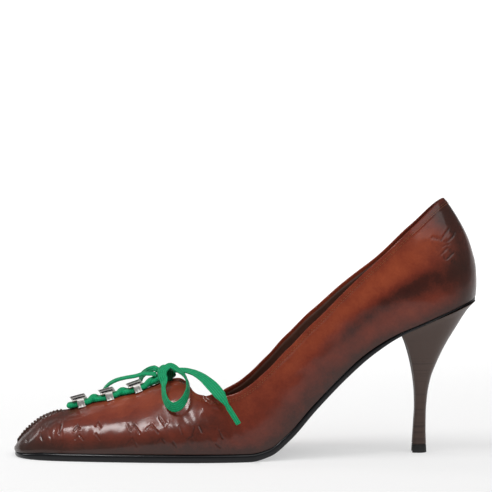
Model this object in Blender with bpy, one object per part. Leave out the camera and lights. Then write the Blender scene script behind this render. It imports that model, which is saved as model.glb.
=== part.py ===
"""Lace up heel: a left shoe, modelled empty and standing on its sole and top lift.

Metres, +Z up. The toe points to -X, the outer side of the foot is -Y. The origin is on the floor
under the ball of the foot.
"""
import functools
import math

import bmesh
import bpy
from mathutils import Vector

# The foot form
FOOT_LENGTH = 0.2512
BALL_SHARE = 0.382
BALL_WIDTH = 0.0692
HEEL_HEIGHT = 0.0834
INSTEP_HEIGHT = 0.0369
COUNTER_HEIGHT = 0.0598

# Walls, layers and clearances
UPPER_WALL = 0.0018
SEAM_RAISE = 0.0007
SEAM_HALF_WIDTH = 0.0017
TREAD_THICKNESS = 0.0041
TOE_THICKNESS = 0.0027
WAIST_THICKNESS = 0.0031
SEAT_THICKNESS = 0.0023
SOLE_MARGIN = 0.0012
SOLE_EDGE_ROUND = 0.0012
INSOLE_THICKNESS = 0.0016
FIT_GAP = 0.0003

# The heel; its plan is a squared oval whose front, the breast, is cut off and slightly hollow
SEAT_DEPTH = 0.0414
LIFT_HEIGHT = 0.0045
LIFT_MARGIN = 0.0004
HEEL_SQUARENESS = 0.78
BREAST_WIDTH_SHARE = 0.80
BREAST_HOLLOW_SHARE = 0.10
BREAST_TURN_SHARE = 0.25
HEEL_AROUND = 24
HEEL_LEVELS = 14

# The lace and its bridges
LACE_WIDTH = 0.0042
LACE_THICKNESS = 0.0016
CORD_DIAMETER = 0.0030
AGLET_LENGTH = 0.0110
AGLET_DIAMETER = 0.0036
BRIDGE_LENGTH = 0.0097
BRIDGE_INNER_WIDTH = 0.0104
BRIDGE_METAL = 0.0009
BRIDGE_RISE = 0.0033
BRIDGE_LEG = 0.0041
BRIDGE_SLOT_LENGTH = 0.0074
BRIDGE_SLOT_WIDTH = 0.0030
BRIDGE_FLANGE = 0.0012
BRIDGE_FRONT = 0.1380
BRIDGE_PITCH = 0.0618
BRIDGE_COUNT = 3
SLIT_SIDE = -0.001

# The way of the lace under the bridges: how much of a crossing's lift it has at a bridge's edge, how
# far in front of the first bridge it turns back, as a share of the bridge length, and how far below
# the middle of the knot it ends, as a share of the knot's height
EDGE_LIFT_SHARE = 0.15
TURN_SHARE = 0.80
KNOT_DROP = 0.40

# Room of a strand where it leaves the knot, and its first straight, as shares of its diameter
EXIT_ROOM = 0.15
EXIT_STRAIGHT = 0.6

# The bow: the knot, and the places that each loop and end passes, chosen by hand in the photo.
# A route starts and, for a loop, ends on the knot, in the direction given.
KNOT_CENTRE = (-0.0144, 0.0, 0.0434)
KNOT_RADII = (0.0034, 0.0042, 0.0045)
NEAR_LOOP = (
    (-0.0152, -0.0085, 0.0406), (-0.0142, -0.0145, 0.0372), (-0.0126, -0.0220, 0.0329),
    (-0.0104, -0.0270, 0.0293), (-0.0079, -0.0292, 0.0280), (-0.0046, -0.0273, 0.0302),
    (-0.0019, -0.0243, 0.0346), (-0.0009, -0.0180, 0.0392), (-0.0029, -0.0115, 0.0434),
    (-0.0070, -0.0066, 0.0471), (-0.0105, -0.0042, 0.0484),
)
NEAR_LOOP_LEAVES = (-0.25, -0.85, -0.45)
NEAR_LOOP_RETURNS = (0.35, -0.50, 0.80)
FAR_LOOP = (
    (-0.0212, 0.0048, 0.0473), (-0.0264, 0.0088, 0.0449), (-0.0300, 0.0145, 0.0403),
    (-0.0302, 0.0208, 0.0343), (-0.0280, 0.0258, 0.0290), (-0.0242, 0.0282, 0.0274),
    (-0.0204, 0.0262, 0.0303), (-0.0180, 0.0205, 0.0357), (-0.0166, 0.0130, 0.0402),
)
FAR_LOOP_LEAVES = (-0.60, 0.55, 0.60)
FAR_LOOP_RETURNS = (-0.10, 0.90, -0.40)
NEAR_END = (
    (-0.0076, -0.0015, 0.0467), (-0.0009, -0.0060, 0.0470), (0.0057, -0.0145, 0.0462),
    (0.0112, -0.0232, 0.0442), (0.0160, -0.0312, 0.0408), (0.0198, -0.0370, 0.0362),
    (0.0215, -0.0382, 0.0319),
)
NEAR_END_LEAVES = (0.90, -0.15, 0.35)
FAR_END = (
    (-0.0240, 0.0008, 0.0434), (-0.0296, 0.0028, 0.0426), (-0.0366, 0.0048, 0.0417),
    (-0.0425, 0.0078, 0.0396), (-0.0472, 0.0114, 0.0358), (-0.0503, 0.0165, 0.0306),
    (-0.0519, 0.0225, 0.0248),
)
FAR_END_LEAVES = (-0.92, -0.20, 0.05)

# How finely the pieces are divided
STEPS_PER_SECTION = 4
RIB_STEPS = 9
ACROSS_STEPS = 4
RIB_SAMPLES = 12
SAMPLES_PER_SECTION = 12
VAMP_SAMPLE_COLUMNS = range(12, 73)
VAMP_SAMPLE_ROWS = range(16, 41)
STRAND_POINTS = 60
STRAND_AROUND = 8
CORD_POINT_SPACING = 1.1
STEPS_PER_STOP = 16

# The place, counted in rows of the section table, where the toe seam ends and the slit begins
SLIT_START = 2.5

# Underside of the sole along the foot: share of the length, share of the heel height, and how much
# of the tread, toe, waist and seat thickness the sole has there
PROFILE_COLUMNS = ("along", "height", "tread", "toe", "waist", "seat")
PROFILE = (
    (0.000, 0.008, 0.0, 1.0, 0.0, 0.0),
    (0.040, 0.001, 0.5, 0.5, 0.0, 0.0),
    (0.070, 0.000, 0.9, 0.1, 0.0, 0.0),
    (0.300, 0.000, 1.0, 0.0, 0.0, 0.0),
    (0.510, 0.000, 1.0, 0.0, 0.0, 0.0),
    (0.553, 0.030, 0.6, 0.0, 0.4, 0.0),
    (0.597, 0.130, 0.2, 0.0, 0.8, 0.0),
    (0.652, 0.312, 0.0, 0.0, 1.0, 0.0),
    (0.724, 0.532, 0.0, 0.0, 1.0, 0.0),
    (0.772, 0.660, 0.0, 0.0, 0.8, 0.2),
    (0.824, 0.768, 0.0, 0.0, 0.4, 0.6),
    (0.888, 0.864, 0.0, 0.0, 0.0, 1.0),
    (0.950, 0.943, 0.0, 0.0, 0.0, 1.0),
    (1.000, 1.003, 0.0, 0.0, 0.0, 1.0),
)

# Sections of the upper from toe to heel back. foot and top are shares of the foot length, for the
# edge where the upper meets the sole and for its upper edge (the toe seam, the slit or the collar).
# lateral, medial, top_lateral, top_medial, low_out and high_out are shares of the ball width; vamp
# and quarter are the height over the foot bed as shares of the instep and counter heights; low_up
# and high_down are shares of that height; margin is the share of the sole margin; lift is how much
# higher the collar is on the inner side, as a share of the counter height.
SECTION_COLUMNS = (
    "foot", "lateral", "medial", "top", "top_lateral", "top_medial",
    "vamp", "quarter", "low_out", "low_up", "high_out", "high_down", "margin", "lift",
)
SECTIONS = (
    (0.000, 0.000, 0.000, 0.011, 0.000, 0.000, 0.165, 0.000, 0.007, 0.36, 0.019, 0.30, 0.5, 0.000),
    (0.020, 0.200, 0.195, 0.029, 0.000, 0.000, 0.300, 0.000, 0.012, 0.45, 0.065, 0.26, 0.8, 0.000),
    (0.072, 0.316, 0.308, 0.076, 0.000, 0.000, 0.490, 0.000, 0.017, 0.50, 0.140, 0.14, 1.0, 0.000),
    (0.163, 0.396, 0.399, 0.159, 0.012, 0.012, 0.622, 0.000, 0.022, 0.48, 0.205, 0.15, 1.0, 0.000),
    (0.271, 0.457, 0.480, 0.263, 0.032, 0.032, 0.790, 0.000, 0.030, 0.48, 0.225, 0.15, 1.0, 0.000),
    (0.366, 0.491, 0.509, 0.356, 0.060, 0.060, 1.000, 0.000, 0.033, 0.46, 0.232, 0.13, 1.0, 0.000),
    (0.438, 0.497, 0.480, 0.402, 0.325, 0.310, 0.850, 0.000, 0.030, 0.45, 0.116, 0.26, 1.0, -0.105),
    (0.510, 0.471, 0.405, 0.478, 0.418, 0.392, 0.600, 0.170, 0.027, 0.38, 0.062, 0.36, 1.0, -0.020),
    (0.597, 0.390, 0.303, 0.573, 0.384, 0.360, 0.250, 0.600, 0.038, 0.32, 0.036, 0.36, 0.2, 0.040),
    (0.701, 0.327, 0.269, 0.681, 0.344, 0.330, 0.000, 0.730, 0.046, 0.32, 0.028, 0.34, -0.7, 0.030),
    (0.812, 0.332, 0.309, 0.784, 0.312, 0.306, 0.000, 0.757, 0.040, 0.31, 0.032, 0.30, -0.2, -0.030),
    (0.908, 0.338, 0.329, 0.860, 0.254, 0.250, 0.000, 0.878, 0.038, 0.29, 0.072, 0.27, 0.0, -0.025),
    (0.975, 0.225, 0.222, 0.911, 0.134, 0.132, 0.000, 0.980, 0.046, 0.31, 0.130, 0.23, 0.0, -0.010),
    (1.000, 0.000, 0.000, 0.931, 0.000, 0.000, 0.000, 1.000, 0.052, 0.33, 0.166, 0.22, 0.0, 0.000),
)

# Slices of the heel from the seat down: share of its height, how far its back and its breast lie in
# front of the foot's end as shares of the seat depth, and its half width as a share of ball width
HEEL_COLUMNS = ("down", "back", "breast", "half")
HEEL_SLICES = (
    (0.00, 0.004, 1.000, 0.330),
    (0.05, 0.094, 0.945, 0.292),
    (0.18, 0.254, 0.880, 0.222),
    (0.32, 0.411, 0.836, 0.162),
    (0.43, 0.510, 0.814, 0.122),
    (0.54, 0.589, 0.802, 0.092),
    (0.66, 0.633, 0.800, 0.073),
    (0.79, 0.652, 0.812, 0.064),
    (0.90, 0.652, 0.826, 0.063),
    (1.00, 0.640, 0.846, 0.067),
)


def column(table, names, name, index):
    """One value of a table, mirrored past its ends so that the shoe closes smoothly."""
    mirrored = name in ("lateral", "medial", "top_lateral", "top_medial")
    last = len(table) - 1
    if index < 0:
        value = table[-index][names.index(name)]
        return -value if mirrored else value
    if index > last:
        value = table[2 * last - index][names.index(name)]
        return -value if mirrored else value
    return table[index][names.index(name)]


def section(name, place):
    """A column of the section table at any place between its rows, on a smooth curve."""
    row = min(int(place), len(SECTIONS) - 2)
    t = place - row
    before, start, end, after = (
        column(SECTIONS, SECTION_COLUMNS, name, row + step) for step in (-1, 0, 1, 2))
    leave = (end - before) / 2
    arrive = (after - start) / 2
    return ((2 * t ** 3 - 3 * t ** 2 + 1) * start + (t ** 3 - 2 * t ** 2 + t) * leave
            + (3 * t ** 2 - 2 * t ** 3) * end + (t ** 3 - t ** 2) * arrive)


def monotone(table, names, key, name, at):
    """A column of a table against its key column, smooth and without overshoot."""
    keys = [row[names.index(key)] for row in table]
    values = [row[names.index(name)] for row in table]
    if at <= keys[0] or at >= keys[-1]:
        end = 0 if at <= keys[0] else -1
        inner = 1 if at <= keys[0] else -2
        slope = (values[end] - values[inner]) / (keys[end] - keys[inner])
        return values[end] + slope * (at - keys[end])
    row = max(i for i, value in enumerate(keys) if value <= at)
    steps = [b - a for a, b in zip(keys, keys[1:])]
    slopes = [(b - a) / step for a, b, step in zip(values, values[1:], steps)]

    def tangent(i):
        if i == 0:
            return slopes[0]
        if i == len(slopes):
            return slopes[-1]
        if slopes[i - 1] * slopes[i] <= 0:
            return 0.0
        return 2 * slopes[i - 1] * slopes[i] / (slopes[i - 1] + slopes[i])

    t = (at - keys[row]) / steps[row]
    return ((2 * t ** 3 - 3 * t ** 2 + 1) * values[row]
            + (t ** 3 - 2 * t ** 2 + t) * steps[row] * tangent(row)
            + (3 * t ** 2 - 2 * t ** 3) * values[row + 1]
            + (t ** 3 - t ** 2) * steps[row] * tangent(row + 1))


def along_to_x(share):
    """World X of a share of the foot length, from the toe."""
    return (share - BALL_SHARE) * FOOT_LENGTH


def x_to_along(x):
    return x / FOOT_LENGTH + BALL_SHARE


def profile(name, x):
    return monotone(PROFILE, PROFILE_COLUMNS, "along", name, x_to_along(x))


def sole_underside(x):
    return max(0.0, profile("height", x) * HEEL_HEIGHT)


def sole_top(x):
    """Height of the foot bed: the underside plus the sole's thickness square to its slope."""
    thickness = (profile("tread", x) * TREAD_THICKNESS + profile("toe", x) * TOE_THICKNESS
                 + profile("waist", x) * WAIST_THICKNESS + profile("seat", x) * SEAT_THICKNESS)
    reach = FOOT_LENGTH / 200
    slope = (sole_underside(x + reach) - sole_underside(x - reach)) / (2 * reach)
    return sole_underside(x) + thickness * math.hypot(1.0, slope)


def foot_outline(place, side):
    """Point of the foot bed's outline in plan; side is -1 outside and 1 inside."""
    half = section("lateral" if side < 0 else "medial", place)
    return Vector((along_to_x(section("foot", place)), side * half * BALL_WIDTH, 0.0))


def outward(place, side):
    """Level direction square to the foot outline, pointing away from the foot."""
    reach = 0.02
    last = len(SECTIONS) - 1
    if place < reach:
        return Vector((-1.0, 0.0, 0.0))
    if place > last - reach:
        return Vector((1.0, 0.0, 0.0))
    run = foot_outline(place + reach, side) - foot_outline(place - reach, side)
    return Vector((run.y * side * -1, run.x * side, 0.0)).normalized()


def top_rise(place, side):
    """Height of the upper's top edge over the foot bed."""
    rise = section("vamp", place) * INSTEP_HEIGHT + section("quarter", place) * COUNTER_HEIGHT
    return rise + (section("lift", place) * COUNTER_HEIGHT if side > 0 else 0.0)


def collar_edge(place, side):
    """Point of the upper's top edge: toe seam, slit edge or collar."""
    half = section("top_lateral" if side < 0 else "top_medial", place)
    if place <= SLIT_START or place >= len(SECTIONS) - 1:
        half = 0.0
    x = along_to_x(section("top", place))
    return Vector((x, side * max(half, 0.0) * BALL_WIDTH, sole_top(x) + top_rise(place, side)))


def upper_point(place, up, side):
    """Point of the upper's outer face; up runs from the sole (0) to the top edge (1)."""
    foot = foot_outline(place, side)
    foot.z = sole_top(foot.x) + FIT_GAP
    top = collar_edge(place, side)
    rise = top_rise(place, side)
    away = outward(place, side) * BALL_WIDTH
    low = foot + away * section("low_out", place)
    low.z += rise * section("low_up", place)
    high = top + away * section("high_out", place)
    high.z -= rise * section("high_down", place)
    keep = 1 - up
    return (foot * keep ** 3 + low * 3 * keep ** 2 * up
            + high * 3 * keep * up ** 2 + top * up ** 3)


def rib_length(place, side):
    points = [upper_point(place, step / RIB_SAMPLES, side) for step in range(RIB_SAMPLES + 1)]
    return sum((b - a).length for a, b in zip(points, points[1:]))


def rib_share(place, side, step):
    """Places of a rib's points: even, then two close to the top edge for the raised seam."""
    band = SEAM_HALF_WIDTH / rib_length(place, side)
    last = RIB_STEPS - 2
    if step <= last:
        return (1 - band) * step / last
    return 1 - band / 2 if step == last + 1 else 1.0


def seam_raise(place, step):
    """Height of the raised toe seam: it ends at the slit."""
    if place > SLIT_START:
        return 0.0
    fade = min(1.0, (SLIT_START - place) * 2)
    return SEAM_RAISE * fade * {RIB_STEPS: 1.0, RIB_STEPS - 1: 0.8}.get(step, 0.0)


@functools.cache
def vamp_samples(side):
    top = VAMP_SAMPLE_ROWS[-1]
    return [upper_point(i / SAMPLES_PER_SECTION, j / top, side)
            for i in VAMP_SAMPLE_COLUMNS for j in VAMP_SAMPLE_ROWS]


def leather_height(x, y):
    """Height of the vamp's outer face over a point near the lacing, from the nearest samples."""
    spot = Vector((x, y, 0.0))
    near = sorted(vamp_samples(-1 if y < 0 else 1), key=lambda p: (p.xy - spot.xy).length)[:3]
    weights = [1 / ((p.xy - spot.xy).length + 1e-6) for p in near]
    return sum(p.z * w for p, w in zip(near, weights)) / sum(weights)


def principled(name, colour, roughness, metallic=0.0):
    material = bpy.data.materials.new(name)
    material.use_nodes = True
    shader = material.node_tree.nodes["Principled BSDF"]
    shader.inputs["Base Color"].default_value = (*colour, 1.0)
    shader.inputs["Roughness"].default_value = roughness
    shader.inputs["Metallic"].default_value = metallic
    return material


def add_object(name, mesh_source, material):
    """Make a named object from a bmesh, shaded smooth except at real edges."""
    bmesh.ops.recalc_face_normals(mesh_source, faces=mesh_source.faces)
    mesh = bpy.data.meshes.new(name)
    mesh_source.to_mesh(mesh)
    mesh_source.free()
    mesh.shade_smooth()
    mesh.set_sharp_from_angle(angle=math.radians(40))
    mesh.materials.append(material)
    thing = bpy.data.objects.new(name, mesh)
    bpy.context.collection.objects.link(thing)
    return thing


def mapped_grid(columns, rows, point):
    """A grid whose vertices are laid on a surface: point(column, row) gives each place."""
    grid = bmesh.new()
    bmesh.ops.create_grid(grid, x_segments=columns, y_segments=rows, size=1.0)
    for vertex in grid.verts:
        i = round((vertex.co.x + 1) / 2 * columns)
        j = round((vertex.co.y + 1) / 2 * rows)
        vertex.co = point(i, j)
    return grid


def weld(grid):
    bmesh.ops.remove_doubles(grid, verts=grid.verts, dist=1e-6)
    bmesh.ops.dissolve_degenerate(grid, edges=grid.edges, dist=1e-7)


def make_upper(material):
    """The shell: one grid from the outer foot edge over the top edge to the inner foot edge."""
    columns = STEPS_PER_SECTION * (len(SECTIONS) - 1)
    rows = 2 * RIB_STEPS + 1

    def point(i, j):
        side = -1 if j <= RIB_STEPS else 1
        step = j if j <= RIB_STEPS else rows - j
        place = i / STEPS_PER_SECTION
        spot = upper_point(place, rib_share(place, side, step), side)
        spot.z += seam_raise(place, step)
        return spot

    shell = bmesh.new()
    bmesh.ops.create_grid(shell, x_segments=columns, y_segments=rows, size=1.0)
    opening = []
    for face in shell.faces:
        middle = face.calc_center_median()
        if abs(middle.y) < 1 / rows and (middle.x + 1) / 2 * columns > SLIT_START * STEPS_PER_SECTION:
            opening.append(face)
    bmesh.ops.delete(shell, geom=opening, context="FACES")
    for vertex in shell.verts:
        i = round((vertex.co.x + 1) / 2 * columns)
        j = round((vertex.co.y + 1) / 2 * rows)
        vertex.co = point(i, j)
    weld(shell)
    upper = add_object("upper", shell, material)
    wall = upper.modifiers.new("wall", "SOLIDIFY")
    wall.thickness = UPPER_WALL
    wall.offset = -1.0
    wall.use_quality_normals = True
    return upper


def layer_rings(name, material, edge_rows, bed, margin):
    """A flat layer along the foot: rings of edge points joined by strips across.

    edge_rows holds (inset, share of the thickness) from the bottom to the top of the edge, bed(x)
    gives its bottom and top height, and margin(place) how far it stands past the foot outline.
    """
    columns = STEPS_PER_SECTION * (len(SECTIONS) - 1)
    edge = len(edge_rows)
    around = 2 * edge + 2 * (ACROSS_STEPS - 1)

    def edge_point(place, side, row):
        inset, share = edge_rows[row]
        spot = foot_outline(place, side) + outward(place, side) * (margin(place) - inset)
        bottom, top = bed(spot.x)
        spot.z = bottom + (top - bottom) * share
        return spot

    def across(place, row, step):
        start = edge_point(place, -1, row)
        end = edge_point(place, 1, row)
        spot = start.lerp(end, step / ACROSS_STEPS)
        bottom, top = bed(spot.x)
        spot.z = top if row else bottom
        return spot

    def point(i, j):
        place = i / STEPS_PER_SECTION
        j = j % around
        if j < edge:
            return edge_point(place, -1, j)
        j -= edge
        if j < ACROSS_STEPS - 1:
            return across(place, edge - 1, j + 1)
        j -= ACROSS_STEPS - 1
        if j < edge:
            return edge_point(place, 1, edge - 1 - j)
        return across(place, 0, ACROSS_STEPS - 1 - (j - edge))

    ring = mapped_grid(columns, around, point)
    weld(ring)
    return add_object(name, ring, material)


def make_outsole(material):
    edge_rows = (
        (SOLE_EDGE_ROUND, 0.0),
        (SOLE_EDGE_ROUND * 0.25, 0.22),
        (0.0, 0.70),
        (SOLE_EDGE_ROUND * 0.45, 1.0),
    )
    return layer_rings("outsole", material, edge_rows,
                       lambda x: (sole_underside(x), sole_top(x)),
                       lambda place: section("margin", place) * SOLE_MARGIN)


def make_insole(material):
    inset = UPPER_WALL + 2 * FIT_GAP
    edge_rows = ((0.0, 0.0), (SOLE_EDGE_ROUND * 0.2, 1.0))
    return layer_rings("insole", material, edge_rows,
                       lambda x: (sole_top(x) + FIT_GAP, sole_top(x) + FIT_GAP + INSOLE_THICKNESS),
                       lambda place: -inset)


def heel_slice(name, down):
    return monotone(HEEL_SLICES, HEEL_COLUMNS, "down", name, down)


def heel_ring(down, turn, swell=0.0):
    """Plan point of a heel slice; turn runs 0 to 1 once round, starting mid-breast."""
    end = along_to_x(1.0)
    back = end - heel_slice("back", down) * SEAT_DEPTH + swell
    breast = end - heel_slice("breast", down) * SEAT_DEPTH - swell
    half = heel_slice("half", down) * BALL_WIDTH + swell
    side = 1 if turn <= 0.5 else -1
    t = 2 * (turn if turn <= 0.5 else 1 - turn)
    if t <= BREAST_TURN_SHARE:
        share = t / BREAST_TURN_SHARE
        hollow = BREAST_HOLLOW_SHARE * (back - breast) * (1 - share ** 2)
        return Vector((breast + hollow, side * half * BREAST_WIDTH_SHARE * share, 0.0))

    def ahead(angle):
        c = math.cos(angle)
        return math.copysign(abs(c) ** HEEL_SQUARENESS, c)

    corner = math.asin(BREAST_WIDTH_SHARE ** (1 / HEEL_SQUARENESS))
    angle = corner + (t - BREAST_TURN_SHARE) / (1 - BREAST_TURN_SHARE) * (math.pi - corner)
    x = back - (back - breast) * (1 + ahead(angle)) / (1 + ahead(corner))
    y = half * math.sin(angle) ** HEEL_SQUARENESS if angle < math.pi else 0.0
    return Vector((x, side * y, 0.0))


def make_heel(material):
    def point(i, j):
        down = j / HEEL_LEVELS
        turn = (i % HEEL_AROUND) / HEEL_AROUND
        spot = heel_ring(down, turn)
        seat = heel_ring(0.0, turn)
        top = sole_underside(seat.x) - FIT_GAP
        bottom = LIFT_HEIGHT + FIT_GAP
        spot.z = top + (bottom - top) * down
        return spot

    heel = mapped_grid(HEEL_AROUND, HEEL_LEVELS, point)
    weld(heel)
    bmesh.ops.holes_fill(heel, edges=[edge for edge in heel.edges if edge.is_boundary], sides=0)
    bmesh.ops.triangulate(heel, faces=[face for face in heel.faces if len(face.verts) > 4])
    return add_object("heel", heel, material)


def make_top_lift(material):
    lift = bmesh.new()
    foot = [lift.verts.new(heel_ring(1.0, i / HEEL_AROUND, LIFT_MARGIN))
            for i in range(HEEL_AROUND)]
    base = lift.faces.new(foot)
    raised = bmesh.ops.extrude_face_region(lift, geom=[base])
    tops = [item for item in raised["geom"] if isinstance(item, bmesh.types.BMVert)]
    bmesh.ops.translate(lift, verts=tops, vec=(0.0, 0.0, LIFT_HEIGHT))
    return add_object("top_lift", lift, material)


def bridge_place(number):
    """Middle of a bridge on the seam line, and the slope of the vamp there."""
    front = along_to_x(BRIDGE_FRONT)
    x = front + number * BRIDGE_PITCH * FOOT_LENGTH
    reach = BRIDGE_LENGTH / 2
    rise = leather_height(x + reach, SLIT_SIDE) - leather_height(x - reach, SLIT_SIDE)
    return x, leather_height(x, SLIT_SIDE), math.atan2(rise, 2 * reach)


def make_bridge(number, material):
    """A slotted plate over the slit with a leg and two small flanges at each side."""
    x, z, slope = bridge_place(number)
    half = BRIDGE_INNER_WIDTH / 2 + BRIDGE_METAL
    bar = (half * 2 - 2 * BRIDGE_SLOT_WIDTH) / 3
    lines_x = (-BRIDGE_LENGTH / 2, -BRIDGE_SLOT_LENGTH / 2, -BRIDGE_LEG / 2,
               BRIDGE_LEG / 2, BRIDGE_SLOT_LENGTH / 2, BRIDGE_LENGTH / 2)
    lines_y = (-half, -BRIDGE_INNER_WIDTH / 2, -half + bar, -bar / 2,
               bar / 2, half - bar, BRIDGE_INNER_WIDTH / 2, half)
    plate = bmesh.new()
    bmesh.ops.create_grid(plate, x_segments=len(lines_x) - 1, y_segments=len(lines_y) - 1, size=1.0)
    slots, legs = [], []
    for face in plate.faces:
        middle = face.calc_center_median()
        i = int((middle.x + 1) / 2 * (len(lines_x) - 1))
        j = int((middle.y + 1) / 2 * (len(lines_y) - 1))
        if 1 <= i <= 3 and j in (2, 4):
            slots.append(face)
        elif i == 2 and j in (0, len(lines_y) - 2):
            legs.append(face)
    for vertex in plate.verts:
        i = round((vertex.co.x + 1) / 2 * (len(lines_x) - 1))
        j = round((vertex.co.y + 1) / 2 * (len(lines_y) - 1))
        vertex.co = Vector((lines_x[i], lines_y[j], BRIDGE_RISE))
    bmesh.ops.delete(plate, geom=slots, context="FACES")
    whole = bmesh.ops.extrude_face_region(plate, geom=plate.faces[:])
    raised = [item for item in whole["geom"] if isinstance(item, bmesh.types.BMVert)]
    bmesh.ops.translate(plate, verts=raised, vec=(0.0, 0.0, BRIDGE_METAL))
    bmesh.ops.recalc_face_normals(plate, faces=plate.faces)
    for leg in legs:
        side = 1 if leg.calc_center_median().y > 0 else -1
        drop = (leather_height(x, side * (half - BRIDGE_METAL / 2)) - z) / math.cos(slope)
        foot_level = drop + FIT_GAP
        for level in (foot_level + BRIDGE_METAL / 2, foot_level):
            grown = bmesh.ops.extrude_face_region(plate, geom=[leg])
            ends = [item for item in grown["geom"] if isinstance(item, bmesh.types.BMVert)]
            for vertex in ends:
                vertex.co.z = level
            bmesh.ops.delete(plate, geom=[leg], context="FACES_ONLY")
            leg = next(item for item in grown["geom"] if isinstance(item, bmesh.types.BMFace))
        toes = [face for face in plate.faces
                if abs(face.normal.x) > 0.9
                and face.calc_center_median().z < foot_level + BRIDGE_METAL / 2
                and face.calc_center_median().y * side > 0]
        for toe in toes:
            way = math.copysign(BRIDGE_FLANGE, toe.calc_center_median().x)
            grown = bmesh.ops.extrude_face_region(plate, geom=[toe])
            ends = [item for item in grown["geom"] if isinstance(item, bmesh.types.BMVert)]
            bmesh.ops.translate(plate, verts=ends, vec=(way, 0.0, 0.0))
            bmesh.ops.delete(plate, geom=[toe], context="FACES_ONLY")
    bridge = add_object(f"lace_bridge_{number + 1}", plate, material)
    bridge.location = (x, 0.0, z)
    bridge.rotation_euler = (0.0, -slope, 0.0)
    return bridge


def smooth_route(points, count):
    """Evenly spaced points on a smooth curve through the given ones."""
    fine = []
    for k in range(len(points) - 1):
        before = points[max(k - 1, 0)]
        start, end = points[k], points[k + 1]
        after = points[min(k + 2, len(points) - 1)]
        for step in range(STEPS_PER_STOP):
            t = step / STEPS_PER_STOP
            leave = (end - before) / 2
            arrive = (after - start) / 2
            fine.append((2 * t ** 3 - 3 * t ** 2 + 1) * start + (t ** 3 - 2 * t ** 2 + t) * leave
                        + (3 * t ** 2 - 2 * t ** 3) * end + (t ** 3 - t ** 2) * arrive)
    fine.append(points[-1].copy())
    lengths = [0.0]
    for a, b in zip(fine, fine[1:]):
        lengths.append(lengths[-1] + (b - a).length)
    route = []
    for k in range(count):
        goal = lengths[-1] * k / (count - 1)
        place = next((n for n in range(1, len(fine)) if lengths[n] >= goal), len(fine) - 1)
        span = lengths[place] - lengths[place - 1]
        share = (goal - lengths[place - 1]) / span if span else 0.0
        route.append(fine[place - 1].lerp(fine[place], min(max(share, 0.0), 1.0)))
    return route


def strand_route():
    """The lace from the knot's far side, forward under the bridges, round the front and back."""
    places = [bridge_place(number)[0] for number in range(BRIDGE_COUNT)]
    pitch = places[1] - places[0]
    lane = LACE_WIDTH / 2 + FIT_GAP
    low = FIT_GAP + LACE_THICKNESS / 2
    high = low + LACE_THICKNESS + FIT_GAP
    ramp = low + EDGE_LIFT_SHARE * (high - low)
    edge = BRIDGE_LENGTH / 2
    stops = []
    for number, place in enumerate(places):
        way = -1 if number % 2 else 1
        crossed = high if number % 2 == 0 else low
        under = low if number % 2 == 0 else high
        stops += [
            (place - edge, way * lane, ramp, ramp),
            (place, way * lane, low, low),
            (place + edge, way * lane, ramp, ramp),
            (place + pitch / 2, 0.0, crossed, under),
        ]

    def lay(stop, side):
        x, y, near_lift, far_lift = stop
        lift = near_lift if side < 0 else far_lift
        return Vector((x, side * y, leather_height(x, side * y) + lift))

    def at_knot(side):
        return Vector((KNOT_CENTRE[0] - KNOT_RADII[0] - 2 * FIT_GAP, -side * lane,
                       KNOT_CENTRE[2] - KNOT_DROP * KNOT_RADII[2]))

    far = [at_knot(1)] + [lay(stop, 1) for stop in reversed(stops)]
    near = [lay(stop, -1) for stop in stops] + [at_knot(-1)]
    front_x = places[0] - BRIDGE_LENGTH * TURN_SHARE
    front = Vector((front_x, 0.0, leather_height(front_x, 0.0) + low))
    return far + [front] + near


def make_crossings(material):
    """The lace under the bridges: one flat tube that turns round in front of the first bridge."""
    count = STRAND_POINTS
    route = smooth_route(strand_route(), count)

    def point(i, j):
        spot = route[i]
        run = (route[min(i + 1, count - 1)] - route[max(i - 1, 0)]).normalized()
        side = run.cross(Vector((0.0, 0.0, 1.0))).normalized()
        up = side.cross(run)
        angle = 2 * math.pi * (j % STRAND_AROUND) / STRAND_AROUND
        return (spot + side * math.cos(angle) * LACE_WIDTH / 2
                + up * math.sin(angle) * LACE_THICKNESS / 2)

    strand = mapped_grid(count - 1, STRAND_AROUND, point)
    weld(strand)
    bmesh.ops.holes_fill(strand, edges=[e for e in strand.edges if e.is_boundary], sides=0)
    return add_object("lace_crossings", strand, material)


def knot_exit(direction):
    """Two places of a strand that leaves the knot: just clear of its face and a little on."""
    way = Vector(direction).normalized()
    reach = 1 / math.sqrt(sum((w / r) ** 2 for w, r in zip(way, KNOT_RADII)))
    face = Vector(KNOT_CENTRE) + way * (reach + FIT_GAP + CORD_DIAMETER * EXIT_ROOM)
    normal = Vector([w * reach / r ** 2 for w, r in zip(way, KNOT_RADII)]).normalized()
    return face, face + normal * CORD_DIAMETER * EXIT_STRAIGHT


def make_knot(material):
    knot = bmesh.new()
    bmesh.ops.create_uvsphere(knot, u_segments=12, v_segments=8, radius=1.0)
    bmesh.ops.scale(knot, verts=knot.verts, vec=KNOT_RADII)
    bmesh.ops.translate(knot, verts=knot.verts, vec=KNOT_CENTRE)
    return add_object("lace_knot", knot, material)


def make_cord(name, points, material):
    """A free stretch of lace: a round tube along a smooth curve through its points."""
    points = [Vector(point) for point in points]
    length = sum((b - a).length for a, b in zip(points, points[1:]))
    route = smooth_route(points, round(length / CORD_DIAMETER / CORD_POINT_SPACING))
    curve = bpy.data.curves.new(name, "CURVE")
    curve.dimensions = "3D"
    curve.bevel_depth = CORD_DIAMETER / 2
    curve.bevel_resolution = 2
    curve.use_fill_caps = True
    spline = curve.splines.new("POLY")
    spline.points.add(len(route) - 1)
    for spot, place in zip(spline.points, route):
        spot.co = (*place, 1.0)
    curve.materials.append(material)
    cord = bpy.data.objects.new(name, curve)
    bpy.context.collection.objects.link(cord)
    return cord


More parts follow.
